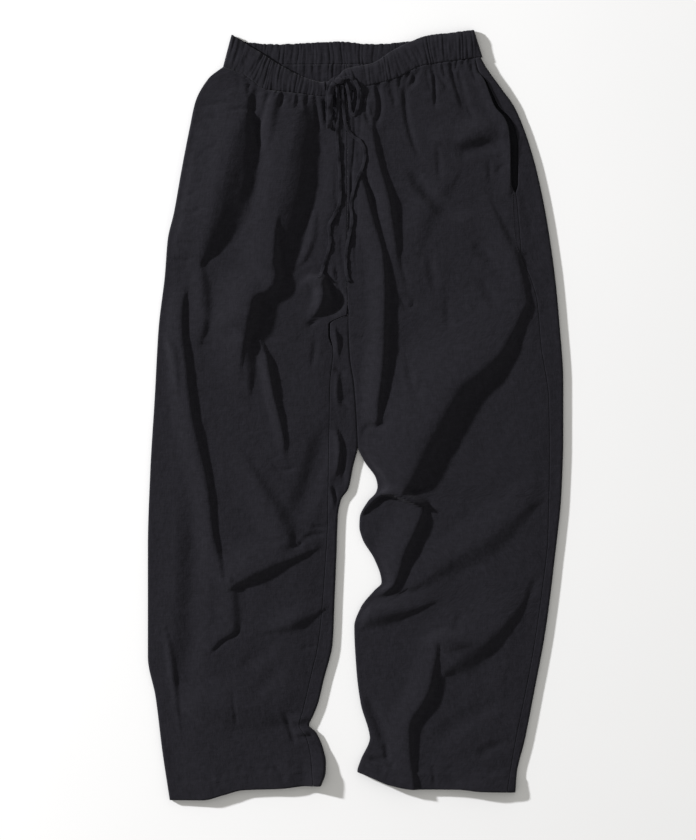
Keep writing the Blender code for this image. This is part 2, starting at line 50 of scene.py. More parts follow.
# Light: the way that it travels, seen from above, and its height over the floor
KEY_HEADING = math.radians(-24)
KEY_ELEVATION = math.radians(22)
KEY_DISTANCE = 6.0
KEY_SIZE = 0.36
KEY_POWER = 600.0
KEY_COLOUR = (0.985, 0.985, 1.0)
FILL_STRENGTH = 0.46
FILL_COLOUR = (1.0, 0.985, 0.935, 1.0)
FLOOR_SIZE = 6.0
FLOOR_Z = -0.0003

# Cloth and seams. A stitch's profile is its share along, and its height over the cloth.
SKIN = 0.9
BAND_SKIN = 1.4
BACK_BAND_SKIN = 1.0
POCKET_SKIN = 0.7
SEAM_GAP = 0.3
CROTCH_GAP = 2.0
SEAM_DIP = 0.4
SEAM_LIP = 0.6
SEAM_ROLL = 1.8
STITCH_RADIUS = 0.26
STITCH_PITCH = 3.1
STITCH_LENGTH = 2.2
STITCH_PROFILE = ((0.0, -0.35), (0.25, 0.12), (0.75, 0.12), (1.0, -0.35))

# Looks: the pitch of the weave's threads, and linear colours
THREAD_PITCH = 0.62
LINEN_COLOUR = (0.0168, 0.0161, 0.0214)
POCKET_COLOUR = (0.0095, 0.0096, 0.0125)
THREAD_COLOUR = (0.0160, 0.0155, 0.0200)

# The flattened tube: heights of its top surface, and how its side edges turn
LIE_HEIGHT = 5.6
LEAST_HEIGHT = 3.4
LEAST_SQUASH = 0.2
LEAST_THICKNESS = 2.6
PILLOW = 2.4
PILLOW_REACH = 48.0
PILLOW_TOP = 380.0
BAND_LIFT = 2.8
BAND_LIFT_Y = 385.0
EDGE_BULGE = 3.0
EDGE_ARC = 10.0
EDGE_CALM = 15.0
LEG_GAP = 1.5
LEG_OVERLAP = 1.6

# Places along the length
HEM_Y = -485.0
HEM_DEPTH = 22.0
HEM_STEP = 0.9
HEM_PUCKER = 0.5
HEM_BEND_Y = -385.0
HEM_STITCH_DROP = 2.5
CROTCH_Y = 130.0
CROTCH_DEPTH = 36.0
LEGS_MEET_Y = -55.0
LEGS_PART_Y = -35.0
TOP_Y = 440.0
TOP_BEND_Y = 350.0
ROW_PITCH = 2.35

# Folds and creases: steps along them, the least steep side, and a crease's tapered ends
FOLD_STEP = 6.0
LEAST_STEEP = 2.5
CREASE_STEP = 5.0
CREASE_TAPER = 0.3
CREASE_END = 0.1

# Gathers: their number, height and how far they reach down from the waistband
FRONT_GATHERS = 56
BACK_GATHERS = 54
GATHER_HEIGHT = 0.9
GATHER_FADE = 12.0
UNDER_GATHER = 1.3
UNDER_GATHER_FADE = 40.0

# Short creases below the waistband: how far apart, long, deep and wide, and how they lean
PUCKER_STEP = (4.0, 11.0)
PUCKER_LENGTHS = (12.0, 18.0, 26.0, 44.0)
PUCKER_SHARES = (0.4, 0.3, 0.2, 0.1)
PUCKER_DEPTH = (0.9, 2.0)
PUCKER_WIDTH = (2.6, 4.4)
PUCKER_LEAN = 0.22
PUCKER_SPLAY = 0.06
PUCKER_START, PUCKER_END = -160.0, 156.0

# Waistband: x of its ends at the seam, and how far they come in towards the top edge
BAND_START, BAND_END = -172.0, 165.0
BAND_TAPER = 11.0
BAND_ROWS, BAND_CELLS = 19, 9
BAND_CROWN = 1.2
BAND_ROLL = 1.8
BAND_FOOT_ROLL = 0.5
BAND_STITCH_SHARE = 0.86
BAND_STITCH_DEPTH = 0.45
BAND_RUFFLE = 0.35
BACK_BAND_ROWS, BACK_BAND_CELLS = 17, 8
BACK_BAND_RISE = 1.3
BACK_BAND_PLEAT = 0.85
BACK_BAND_RUFFLE = 0.6

# Pocket bag: its lowest and highest y, rows and columns, and how far it runs past the mouth
POCKET_BAG_Y = (290.0, 432.0)
POCKET_BAG_CELLS = (40, 10)
POCKET_BAG_PAST = (8.0, 5.0)
POCKET_BAG_DEPTH = 1.2
POCKET_BAG_SAG = 0.2

# Drawstring, and the steps along its loops and ends
TIE_WIDTH = 4.6
TIE_WIDTHS = {"tie_right_loop": 7.6, "tie_left_loop": 4.4, "tie_right_end": 4.4,
              "tie_left_end": 4.4}
TIE_THICKNESS = 1.9
TIE_HOLLOW = 0.22
TIE_SIDES = 18
TIE_CLEARANCE = 0.2
TIE_OVER_BAND = 1.2
TIE_BAND_Y = 395.0
LOOP_STEP, END_STEP = 1.2, 1.8

# Edges of the pants seen from above: x at each height y, from the waist to the hem
RIGHT_OUTER = ((452, -172), (437, -191), (407, -208), (375, -215), (318, -226), (262, -236),
               (228, -244), (180, -248), (113, -256), (24, -261), (-76, -267), (-173, -270),
               (-314, -270), (-366, -260), (-438, -251), (-500, -241.5))
RIGHT_INNER = ((166, -10.7), (90, -8.3), (72, -7), (43, -2.4), (0, 1), (-43, 2.6), (-69, -2.8),
               (-95, -8.2), (-110, -18), (-130, -22), (-184, -24), (-236, -26.2), (-295, -28.8),
               (-345, -40.7), (-375, -48), (-392, -54.8), (-403, -59.6), (-412, -50.5),
               (-435, -40.7), (-451, -37.5), (-464, -38), (-482, -44))
RIGHT_INSEAM = ((130, -12), (118, -34), (104, -34), (84, -29), (41, -33), (-11, -34),
                (-97, -35.3), (-141, -36), (-206, -40), (-271, -45), (-303, -49.4), (-331, -56),
                (-383, -68), (-403, -73), (-418, -64), (-444, -58), (-485, -55))
LEFT_INNER = ((166, -10.7), (90, -8.3), (72, -7), (43, -2.4), (0, 1), (-43, 3.5), (-60, 10.6),
              (-83, 26), (-93, 27.8), (-100, 26), (-112, 15.3), (-133, 4.7), (-145, 4.2),
              (-161, 8.2), (-187, 23.6), (-211, 32.3), (-218, 33), (-227, 24.5), (-250, 6),
              (-275, -2.4), (-331, 0.4), (-375, 6), (-413, 17), (-419, 17.8), (-448, 6),
              (-463, 1.5), (-470, 1.5))
LEFT_OUTER = ((465, 162), (451, 170), (426, 188), (399, 207), (360, 223), (315, 236),
              (249, 249.3), (173, 260), (119, 265), (43, 270), (-27, 270), (-100, 267.7),
              (-187, 258.8), (-277, 247.4), (-366, 231), (-422, 220), (-466, 209.5),
              (-490, 207.8))
LEFT_SIDE = ((465, 155), (446, 160), (435, 167), (417, 174), (400, 181), (386, 193),
             (372, 198.5), (348, 201), (300, 202), (285, 208.5), (262, 211), (240, 213),
             (205, 216), (176, 228), (147, 236), (90, 241), (20, 251), (-50, 252),
             (-157, 250), (-227, 242.5), (-303, 231.5), (-366, 219.5), (-422, 208),
             (-490, 196.5))

# How far the left side pocket stands open: width at each height y
POCKET_MOUTH = ((446, 0), (430, 2.6), (405, 5), (388, 7.2), (369, 9), (348, 10.2),
                (300, 9), (288, 0))

# Cross edges seen from above: y at each x, from the wearer's right to the left
RIGHT_HEM = ((-241.5, -500), (-198, -500), (-172, -493.6), (-146, -487), (-96, -485),
             (-61, -481.5), (-44, -481.5))
LEFT_HEM = ((1.5, -463), (16.7, -469), (47, -481), (77, -486), (131, -486), (164, -489),
            (208, -490))
BAND_LOWER = ((-172, 452), (-148, 443), (-115, 422), (-81, 418), (-30, 413), (4, 424),
              (53, 437), (86, 453), (131, 460), (165, 465))
BAND_UPPER = ((-161, 494), (-126, 472), (-94, 452), (-60, 436), (-42, 432), (-28, 436),
              (-13, 449), (22, 457), (48, 473), (72, 485), (98, 493.4), (122, 496),
              (154, 500))
BACK_LOWER = ((-172, 452), (-140, 455), (0, 456), (110, 458), (140, 462), (156, 463.5),
              (165, 465))
BACK_UPPER = ((-161, 494), (-140, 484), (-100, 481.4), (-20, 485), (18, 481.6), (70, 485),
              (110, 490), (154, 500))

# Stitches at the lower end of the left side pocket
POCKET_STITCHES = (
    ((203.5, 290), (204.5, 262), (206, 240), (209.5, 218), (213.5, 209)),
    ((197.5, 372), (199, 348), (200, 320), (199.5, 294)),
    ((212.5, 207), (217, 208.5), (222, 210)),
    ((212.5, 209), (217, 210.5), (222, 212)),
)

# Folds: how wide the gentle side is, how wide the steep side is for each millimetre of
# height, and the crest as points (x, y, height) that run so that the steep side is on the
# left hand.
RIGHT_FOLDS = {
    "hip_outer": (64, 2.8, ((-138, 424, 0.2), (-143, 404, 5), (-151, 380, 10), (-161, 347, 14.5),
        (-170, 317, 17), (-178, 288, 17.8), (-186, 260, 16.5), (-193, 237, 13), (-199, 214, 8),
        (-203, 190, 0.2))),
    "hip_middle": (16, 3.0, ((-104, 414, 3), (-110, 390, 4), (-113, 365, 3), (-114, 340, 0.2))),
    "hip_inner": (72, 4.0, ((-66, 418, 0.2), (-71, 404, 4), (-77, 385, 7), (-83, 360, 9.5),
        (-89, 330, 11), (-94, 300, 11.5), (-99, 270, 11), (-104, 240, 9), (-107, 212, 5),
        (-109, 190, 0.2))),
    "hip_facet": (9, 2.6, ((-50, 268, 0.2), (-54, 250, 3), (-58, 228, 3.4), (-66, 206, 2.6),
        (-76, 190, 0.2))),
    "thigh_facet": (34, 3.2, ((-146, 106, 0.2), (-145, 92, 6.5), (-143, 66, 5.5), (-140, 42, 3.2),
        (-137, 22, 0.2))),
    "thigh_middle": (14, 1.4, ((-123, 94, 3), (-116, 72, 6), (-112, 50, 6.5), (-106, 20, 5.5),
        (-98, -10, 4.5), (-93, -35, 3), (-91, -58, 0.2))),
    "hip_line": (20, 3.2, ((-201, 206, 0.2), (-200, 171, 4), (-197, 124, 4), (-203, 90, 0.2))),
    "hip_drop": (20, 4.5, ((-146, 118, 0.2), (-172, 121, 3), (-198, 124, 0.2))),
    "thigh_outer": (28, 1.8, ((-219, 168, 0.2), (-226, 142, 5), (-227.5, 106, 6.5),
        (-222, 63, 6.5), (-219, 32, 6.5), (-213.6, -6, 6.5), (-205, -43, 6.5), (-196, -82, 6),
        (-191, -115, 5.5), (-187, -152, 5), (-181, -175, 4), (-175, -200, 2.5),
        (-171, -225, 0.2))),
    "thigh_rim": (9, 3.0, ((-251, 115, 0.2), (-241, 92, 3), (-235, 66, 3), (-229, 17, 0.2))),
    "shin_rim": (8, 3.0, ((-248, -271, 0.2), (-241, -310, 2.4), (-236, -349, 2.4),
        (-227, -414, 0.2))),
    "knee_inner": (34, 3.2, ((-150, -44, 0.2), (-128, -86, 4), (-108, -122, 5.5),
        (-96, -148, 6.5), (-88, -162, 4.5), (-83, -172, 0.2))),
    "knee_cross": (45, 1.9, ((-42, -168, 0.2), (-64, -178, 2.6), (-96, -189, 6),
        (-128, -201, 9.6), (-150, -213, 7.5), (-170, -230, 0.2))),
    "shin_hook": (24, 3.6, ((-160, -222, 2), (-160, -252, 3.4), (-159, -270, 3.2),
        (-164, -283, 2.8), (-176, -291, 2.2), (-191, -309, 0.2))),
    "shin_band": (24, 3.0, ((-50, -256, 2), (-76, -266, 5), (-98, -274, 4), (-124, -284, 0.2))),
    "hem_swell": (40, 6.0, ((-84, -398, 0.2), (-122, -386, 4.5), (-165, -376, 7), (-200, -378, 6),
        (-226, -386, 0.2))),
    "notch_ridge": (16, 2.0, ((-90, -389, 0.2), (-74, -394, 3), (-60, -397, 3))),
    "notch_foot": (12, 2.0, ((-84, -408, 0.2), (-70, -410, 2.5), (-54, -406, 2))),
    "crotch_facet": (14, 1.5, ((-72, 170, 0.2), (-57, 175, 7), (-45, 168, 11), (-44, 152, 10),
        (-50, 136, 6), (-56, 126, 0.2))),
    "crotch_side": (10, 1.2, ((-30, 196, 0.2), (-29, 182, 4), (-27, 166, 5), (-22, 152, 3))),
    "hip_step": (52, 1.4, ((-100, 262, 0.2), (-104, 238, 4), (-106, 214, 8), (-107, 192, 11),
        (-107, 174, 12), (-114, 164, 12), (-128, 158, 13), (-136, 150, 15), (-140, 132, 15),
        (-143, 114, 13), (-145, 98, 9), (-146, 84, 2))),
    "strip_ridge_a": (7, 1.4, ((-28, 118, 0.2), (-24, 96, 3.5), (-22, 74, 0.2))),
    "strip_ridge_b": (7, 1.5, ((-22, 58, 0.2), (-24, 30, 3), (-20, 8, 0.2))),
    "strip_ridge_c": (8, 1.4, ((-28, -8, 0.2), (-22, -36, 4), (-22, -62, 3), (-28, -84, 0.2))),
    "strip_ridge_d": (7, 1.3, ((-32, -92, 0.2), (-28, -112, 3), (-25, -126, 0.2))),
}
RIGHT_CREASES = {
    "hip_valley": (-3, 7, ((-128, 431), (-133, 395), (-132, 362))),
    "hip_wedge": (-4, 8, ((-120, 395), (-128, 366), (-123, 340))),
    "hip_pinch": (-2, 4, ((-137, 436), (-140, 412))),
    "waist_pinch_a": (-2, 5, ((-112, 420), (-118, 398), (-120, 382))),
    "waist_pinch_b": (-2, 5, ((-92, 420), (-97, 400))),
    "waist_pinch_c": (-2, 5, ((-74, 418), (-72, 392))),
    "waist_pinch_d": (-2.5, 5, ((-52, 414), (-49, 384), (-46, 362))),
    "waist_pinch_e": (-1.5, 4, ((-40, 412), (-39, 390))),
    "knee_valley": (-4.2, 25, ((-212, -90), (-211, -180), (-214, -280), (-224, -390))),
    "knee_pit": (-2.2, 5, ((-83, -166), (-75, -171), (-67, -162))),
    "knee_tuck": (-2, 6, ((-70, -163), (-57, -156), (-37, -155))),
    "knee_lobe": (-2, 7, ((-120, -162), (-104, -163), (-88, -160))),
    "inner_valley": (-4.5, 22, ((-36, 0), (-44, -40), (-56, -84), (-84, -148))),
    "inner_tuck": (-1.8, 6, ((-51, 102), (-56, 60))),
    "knee_wrinkle": (-2.2, 4.5, ((-112, -62), (-94, -72), (-76, -68))),
    "inseam_tuck": (-1.4, 4, ((-60, -145), (-33, -145))),
    "shin_line": (-1.2, 4, ((-177, -259), (-161, -276))),
    "shin_tuck": (-1.4, 4, ((-71, -301), (-50, -301))),
    "shin_soft": (-1.6, 15, ((-152, -334), (-128, -313), (-100, -296))),
    "shin_dent": (-1.6, 15, ((-138, -372), (-116, -348), (-92, -326))),
    "shin_crease": (-1.2, 4, ((-160, -352), (-157, -380), (-153, -408))),
    "hem_crease": (-2, 6, ((-92, -382), (-85, -407), (-77, -432))),
    "notch_fold": (-2, 4, ((-86, -398), (-72, -403), (-60, -404))),
    "notch_tuck": (-1.8, 4, ((-80, -416), (-66, -418), (-52, -413))),
    "hem_dent": (-2, 7, ((-108, -454), (-89, -475))),
    "hip_press": (-1.8, 4, ((-168, 394), (-148, 397), (-128, 395))),
    "hip_side_a": (-2, 5, ((-236, 226), (-218, 222), (-200, 224))),
    "hip_side_b": (-2, 6, ((-230, 264), (-212, 262), (-196, 268))),
    "hip_side_c": (-1.2, 6, ((-206, 330), (-190, 345), (-168, 352))),
    "thigh_side": (-1.6, 5, ((-203, 92), (-182, 91))),
    "crotch_pit": (-7, 12, ((-30, 190), (-31, 166), (-22, 146), (-40, 130))),
    "crotch_nick": (-3, 6, ((-49, 122), (-62, 117))),
    "strip_tuck": (-3, 6, ((-17, -50), (-15, -78), (-11, -96))),
    "strip_nick": (-2.5, 5, ((-30, -90), (-22, -118))),
    "strip_a": (-2, 4, ((-29, 62), (-12, 50))),
    "strip_b": (-2, 4, ((-31, 24), (-8, 14))),
    "strip_c": (-2, 4, ((-33, -14), (-10, -30))),
    "shin_hook_line": (-1.8, 4, ((-147, -270), (-153, -284), (-172, -294), (-187, -312))),
    "centre_e": (-1.2, 3, ((-16, 408), (-15, 360), (-17, 312), (-15, 262))),
    "centre_f": (-1.1, 3, ((-25, 330), (-26, 290), (-22, 262), (-23, 222))),
    "centre_g": (-1.2, 3, ((-17, 250), (-18, 215), (-15, 180))),
    "hip_core": (-4, 24, ((-40, 410), (-45, 350), (-48, 320), (-55, 280), (-64, 240), (-74, 180))),
    "hip_press_b": (-1.6, 4, ((-204, 399), (-176, 405), (-150, 403))),
    "hip_press_c": (-1.4, 4, ((-206, 384), (-180, 386), (-158, 381))),
    "hip_side_d": (-1.8, 5, ((-236, 286), (-218, 284), (-204, 290))),
    "hip_side_e": (-1.8, 5, ((-238, 204), (-222, 200), (-210, 204))),
    "hip_hollow": (-4, 20, ((-120, 398), (-124, 350), (-128, 300), (-140, 250))),
}
LEFT_FOLDS = {
    "waist_ridge": (24, 1.4, ((20, 386, 2), (24, 353, 4.5), (32, 317, 5), (42, 281, 7),
        (47, 251, 6.5), (52, 220, 4.5), (56, 194, 0.2))),
    "fly_fold": (26, 1.3, ((5, 322, 0.2), (13, 290, 5), (22, 252, 6.5), (33, 213, 6),
        (36, 186, 6.5), (37, 160, 8), (37, 140, 8), (36, 102, 8.5), (34, 67, 9), (30, 36, 9.5),
        (27, 12, 8), (27, -6, 4.5), (23, -21, 0.2))),
    "hip_swell": (34, 8.0, ((136, 318, 0.2), (118, 300, 2), (98, 276, 3), (84, 240, 2),
        (80, 200, 0.2))),
    "pocket_edge": (16, 1.3, ((154, 448, 0.2), (168, 433, 3), (175, 415, 4), (184, 398, 4.5),
        (195, 382, 4.5), (200, 362, 4.5), (202, 330, 4), (201, 292, 1.5))),
    "side_valley": (30, 2.6, ((170, 288, 0.2), (186, 246, 3), (198, 220, 4), (207, 203, 4.5),
        (213, 181, 4), (219, 157, 3.5), (224, 140, 1.5))),
    "great": (92, 2.2, ((227, 150, 0.2), (216, 137, 4), (203, 114, 7), (184, 82, 10.5),
        (158, 59, 14), (133, 41, 15.5), (117, 15, 16), (97, -20, 17), (83, -46, 16.5),
        (74, -68, 15.5), (67, -83, 13), (62, -94, 8), (59, -103, 0.3))),
    "knee_arc": (15, 0.4, ((94, -121, 0.2), (84, -117, 7), (71, -111, 13), (58, -105, 16),
        (45, -101, 15.5), (34, -102, 11), (24, -108, 5), (14, -119, 0.2))),
    "knee_second": (40, 1.5, ((91, -112, 0.2), (87, -121, 5), (81, -136, 8.5), (71, -158, 9),
        (60, -181, 10), (54, -204, 8), (46, -221, 7.5), (34, -229, 6), (18, -235, 0.2))),
    "knee_outer": (40, 4.6, ((246, -110, 0.2), (224, -116, 3), (198, -136, 5), (177, -153, 6),
        (151, -170, 6), (121, -186, 5), (98, -205, 3.5), (70, -223, 2))),
    "shin_upper": (24, 2.3, ((112, -238, 0.2), (80, -248, 4), (52, -254, 7), (30, -258, 9),
        (14, -262, 8), (0, -268, 5))),
    "shin_lower": (66, 3.3, ((226, -228, 0.2), (209, -250, 3.5), (190, -270, 5.5),
        (169, -289, 7.5), (151, -302, 8.5), (134, -314, 8.5), (120, -326, 6), (112, -338, 2))),
    "shin_bridge": (14, 3.2, ((150, -300, 0.2), (128, -292, 6), (110, -289, 7.5), (98, -295, 4),
        (92, -300, 0.2))),
    "shin_inner": (30, 1.9, ((106, -290, 0.2), (104, -304, 3), (99, -330, 5.5), (93, -356, 7),
        (82, -377, 8), (73, -389, 8), (68, -408, 6), (70, -450, 5), (75, -490, 5))),
    "hip_swirl": (26, 3.4, ((192, 352, 0.2), (182, 364, 3.5), (165, 369, 5.5), (148, 362, 5.5),
        (132, 356, 4.5), (114, 358, 3.5), (100, 350, 0.2))),
}
LEFT_CREASES = {
    "waist_valley_a": (-3.5, 6, ((17, 430), (11, 402), (23, 369))),
    "waist_valley_b": (-3.5, 6, ((28, 432), (32, 400), (26, 372))),
    "waist_tail": (-1.5, 5, ((58, 205), (64, 180), (69, 161))),
    "waist_loop": (-1.8, 4, ((57, 153), (66, 138), (73, 140), (77, 153))),
    "waist_pinch_a": (-1.8, 4, ((44, 438), (47, 410))),
    "gather_a": (-2.5, 6, ((67, 449), (64, 424), (67, 386), (76, 352), (89, 323))),
    "gather_b": (-2, 5, ((84, 450), (67, 420))),
    "gather_c": (-3, 4, ((101, 456), (103, 425), (104, 395))),
    "gather_d": (-2, 5, ((103, 447), (123, 420))),
    "gather_e": (-2.5, 6, ((123, 454), (133, 420), (144, 386))),
    "gather_f": (-2.5, 6, ((131, 457), (145, 402), (160, 378))),
    "gather_g": (-1.5, 4, ((148, 458), (158, 430))),
    "fly_valley": (-2.5, 7, ((8, 318), (20, 289), (28, 266))),
    "fly_foot": (-3, 7, ((43, -3), (34, -14), (16, -15), (5, -35))),
    "hip_dimple": (-3, 14, ((126, 340), (150, 344), (174, 350), (196, 354))),
    "hip_tuck_a": (-1.5, 6, ((107, 352), (110, 300))),
    "hip_tuck_b": (-1.2, 5, ((174, 336), (175, 300))),
    "hip_tuck_c": (-1.5, 5, ((182, 312), (190, 322), (201, 327))),
    "hip_valley": (-3.5, 12, ((69, 325), (91, 289), (127, 271))),
    "pocket_line": (-1, 4, ((213, 292), (221, 268), (230, 225))),
    "hem_valley": (-3, 13, ((9, -366), (27, -394), (36, -418), (43, -434))),
    "hem_node": (-2.6, 6, ((39, -424), (42, -452))),
    "hem_pocket": (-2.5, 6, ((14, -446), (39, -449))),
    "hem_nick_a": (-1.2, 3, ((31, -452), (31, -470))),
    "hem_nick_b": (-1.2, 3, ((36, -452), (35, -470))),
    "hem_nick_c": (-1.5, 4, ((45, -458), (51, -450))),
    "hem_nick_d": (-1.4, 4, ((99, -452), (104, -484))),
    "shin_soft_a": (-2.2, 18, ((96, -436), (121, -409), (153, -390), (196, -366))),
    "shin_soft_b": (-2.2, 11, ((156, -445), (175, -432), (198, -427))),
    "thigh_soft_a": (-2, 12, ((150, 226), (170, 209), (183, 191))),
    "thigh_soft_b": (-2, 12, ((160, 182), (190, 130))),
    "thigh_soft_c": (-1.8, 9, ((96, 211), (99, 185), (105, 159))),
    "thigh_soft_d": (-1.5, 9, ((120, 159), (121, 104))),
    "thigh_dent": (-2.2, 9, ((66, 80), (73, 43), (80, 29), (91, 56))),
    "shin_soft_c": (-1.5, 8, ((136, -255), (129, -283))),
    "shin_soft_d": (-1.5, 8, ((235, -212), (223, -240))),
    "centre_a": (-1.3, 3, ((-3, 418), (-1, 360), (-5, 300), (-2, 244))),
    "centre_b": (-1.2, 3, ((4, 410), (7, 380), (3, 350), (5, 318))),
    "centre_c": (-1.2, 3, ((-7, 330), (-5, 290), (-8, 250), (-6, 205))),
    "centre_d": (-1.1, 3, ((0, 300), (2, 262), (-1, 225), (2, 180))),
    "hip_arc": (-4, 15, ((84, 306), (104, 276), (128, 264), (150, 272))),
}

# Edges that stand up from the floor, read as folds
LIFTS = {
    "hip_edge": (40, 9.0, ((-262, 190, 0.2), (-247, 228, 4), (-236, 262, 6.5), (-226, 318, 7.5),
        (-214, 376, 5), (-200, 416, 0.2))),
    "right_hem_corner": (26, 3.5, ((-50, -425, 0.2), (-44, -445, 3), (-44, -470, 6),
        (-46, -484, 8))),
    "left_hem_outer": (30, 9.0, ((120, -486, 0.2), (150, -487, 3), (190, -489, 4))),
    "left_hem_inner": (24, 6.0, ((6, -465, 3), (25, -472, 4), (52, -483, 3))),
    "left_knee_lip": (12, 0.9, ((46, -101, 0.2), (34, -103, 3), (24, -110, 5), (16, -118, 5),
        (10, -126, 3), (6, -132, 0.2))),
}

# Creases of the underside, pressed in from below
BACK_CREASES = {
    "seat_left": (1.6, 16, ((150, 380), (120, 300), (96, 210))),
    "seat_right": (1.6, 15, ((-150, 372), (-128, 290), (-110, 205))),
    "seat_cross": (1.3, 12, ((-190, 232), (-120, 190), (-52, 168))),
    "left_cross": (1.4, 13, ((60, 176), (120, 196), (200, 238))),
    "left_knee": (1.7, 16, ((60, -70), (130, -96), (214, -150))),
    "left_calf": (1.5, 14, ((52, -232), (120, -290), (200, -330))),
    "left_ankle": (1.2, 12, ((40, -392), (110, -412), (180, -398))),
    "right_thigh": (1.6, 15, ((-226, 96), (-190, 0), (-170, -96))),
    "right_knee": (1.7, 16, ((-60, -120), (-130, -162), (-214, -186))),
    "right_calf": (1.5, 14, ((-72, -262), (-140, -320), (-214, -344))),
    "right_ankle": (1.2, 12, ((-84, -402), (-150, -428), (-214, -420))),
}

# Drawstring routes from the knot outwards: x, y and the lift over what it lies on
KNOT = (-21.0, 433.0)
KNOT_SIZE = (12.0, 8.5, 6.0)
TIE_ROUTES = {
    "tie_right_loop": ((-26.5, 434.5, 1), (-30.5, 432, 0.4), (-34.2, 424, 0), (-35.2, 402, 0),
        (-34.6, 384, 0), (-34.2, 375, 0.2), (-34, 372.4, 1.8), (-33.8, 375, 3.4), (-33.5, 384, 4),
        (-33.2, 402, 4.6), (-32, 420, 5), (-27.5, 430, 3.6)),
    "tie_left_loop": ((-15, 436, 1), (-8, 438, 1), (-1, 433, 1), (3.4, 423, 0.6), (4, 408, 0),
        (1.2, 394, 0), (-3, 389, 0), (-6.6, 396, 0), (-8, 409, 0.4), (-10, 422, 1), (-13, 430, 1)),
    "tie_right_end": ((-23.5, 427.5, 0), (-22.5, 400, 0), (-24, 361, 0), (-21, 325, 0),
        (-20, 280, 0), (-27, 260, 0), (-34, 246, 0), (-33, 224, 0), (-40, 198, 0), (-46, 179, 0)),
    "tie_left_end": ((-17.7, 427.3, 0), (-15.5, 400, 0), (-13, 378, 0), (-5, 363, 0), (6, 355, 0),
        (12, 342, 0), (10, 324, 0), (0, 300, 0), (-6, 273, 0), (-4.6, 251, 0), (-11, 218, 0),
        (-12.4, 190, 0), (-8.5, 173, 0)),
}

RANDOM = np.random.default_rng(7)


def smooth_step(value):
    """Rise softly from 0 to 1 as the value goes from 0 to 1."""
    t = np.clip(value, 0.0, 1.0)
    return t * t * (3.0 - 2.0 * t)


def within(x, start, end, ease):
    """1 between the start and the end, and softly 0 outside them."""
    return smooth_step((x - start) / ease) * smooth_step((end - x) / ease)


def along(table, at):
    """Read a smooth curve through the rows (position, value) of a table."""
    rows = sorted(table)
    xs = np.array([row[0] for row in rows], dtype=float)
    ys = np.array([row[1] for row in rows], dtype=float)
    slopes = np.diff(ys) / np.diff(xs)
    same_way = slopes[:-1] * slopes[1:] > 0.0
    inner = np.where(same_way, 2.0 * slopes[:-1] * slopes[1:] /
                     np.where(same_way, slopes[:-1] + slopes[1:], 1.0), 0.0)
    tangents = np.concatenate(([slopes[0]], inner, [slopes[-1]]))
    at = np.clip(np.asarray(at, dtype=float), xs[0], xs[-1])
    i = np.clip(np.searchsorted(xs, at) - 1, 0, len(xs) - 2)
    width = xs[i + 1] - xs[i]
    t = (at - xs[i]) / width
    return ((1 + 2 * t) * (1 - t) ** 2 * ys[i] + t * (1 - t) ** 2 * width * tangents[i]
            + t * t * (3 - 2 * t) * ys[i + 1] + t * t * (t - 1) * width * tangents[i + 1])


def spline(points, step):
    """Points every step along a smooth curve through the given points."""
    pts = np.array(points, dtype=float)
    padded = np.vstack((2 * pts[0] - pts[1], pts, 2 * pts[-1] - pts[-2]))
    fine = []
    for a, b, c, d in zip(padded, padded[1:], padded[2:], padded[3:]):
        for t in np.linspace(0.0, 1.0, 12, endpoint=False):
            fine.append(0.5 * (2 * b + (c - a) * t + (2 * a - 5 * b + 4 * c - d) * t * t
                               + (3 * b - a - 3 * c + d) * t ** 3))
    fine.append(pts[-1])
    fine = np.array(fine)
    reach = np.concatenate(([0.0], np.cumsum(np.linalg.norm(np.diff(fine, axis=0), axis=1))))
    places = np.linspace(0.0, reach[-1], max(2, round(reach[-1] / step) + 1))
    return np.column_stack([np.interp(places, reach, column) for column in fine.T])


class Crumple:
    """Smooth random hills of about the given size, the same on each run."""

    CELLS = 96

    def __init__(self, size, seed):
        self.size = size
        self.values = np.random.default_rng(seed).uniform(-1.0, 1.0, (self.CELLS, self.CELLS))

    def at(self, x, y):
        u, v = x / self.size + self.CELLS / 2, y / self.size + self.CELLS / 2
        i, j = np.floor(u).astype(int), np.floor(v).astype(int)
        s, t = smooth_step(u - i), smooth_step(v - j)
        i, j = i % (self.CELLS - 1), j % (self.CELLS - 1)
        low = self.values[i, j] * (1 - s) + self.values[i + 1, j] * s
        high = self.values[i, j + 1] * (1 - s) + self.values[i + 1, j + 1] * s
        return low * (1 - t) + high * t


CRUMPLES = ((0.6, Crumple(46.0, 1)), (0.45, Crumple(21.0, 2)), (0.24, Crumple(10.0, 3)))


def nearest_on(line, x, y):
    """Distance of each point to a line, the side that it lies on, and the place along it."""
    best = np.full(x.shape, 1e9)
    side = np.zeros(x.shape)
    place = np.zeros(x.shape)
    for k, (a, b) in enumerate(zip(line, line[1:])):
        run = b[:2] - a[:2]
        t = np.clip(((x - a[0]) * run[0] + (y - a[1]) * run[1]) / run.dot(run), 0.0, 1.0)
        off_x = x - a[0] - t * run[0]
        off_y = y - a[1] - t * run[1]
        distance = np.hypot(off_x, off_y)
        nearer = distance < best
        best = np.where(nearer, distance, best)
        side = np.where(nearer, run[0] * off_y - run[1] * off_x, side)
        place = np.where(nearer, k + t, place)
    return best, side, place


def near_to(line, reach, x, y):
    """Which points lie in the box round a line, made larger by the reach."""
    low, high = line[:, :2].min(axis=0) - reach, line[:, :2].max(axis=0) + reach
    return (x > low[0]) & (x < high[0]) & (y > low[1]) & (y < high[1])


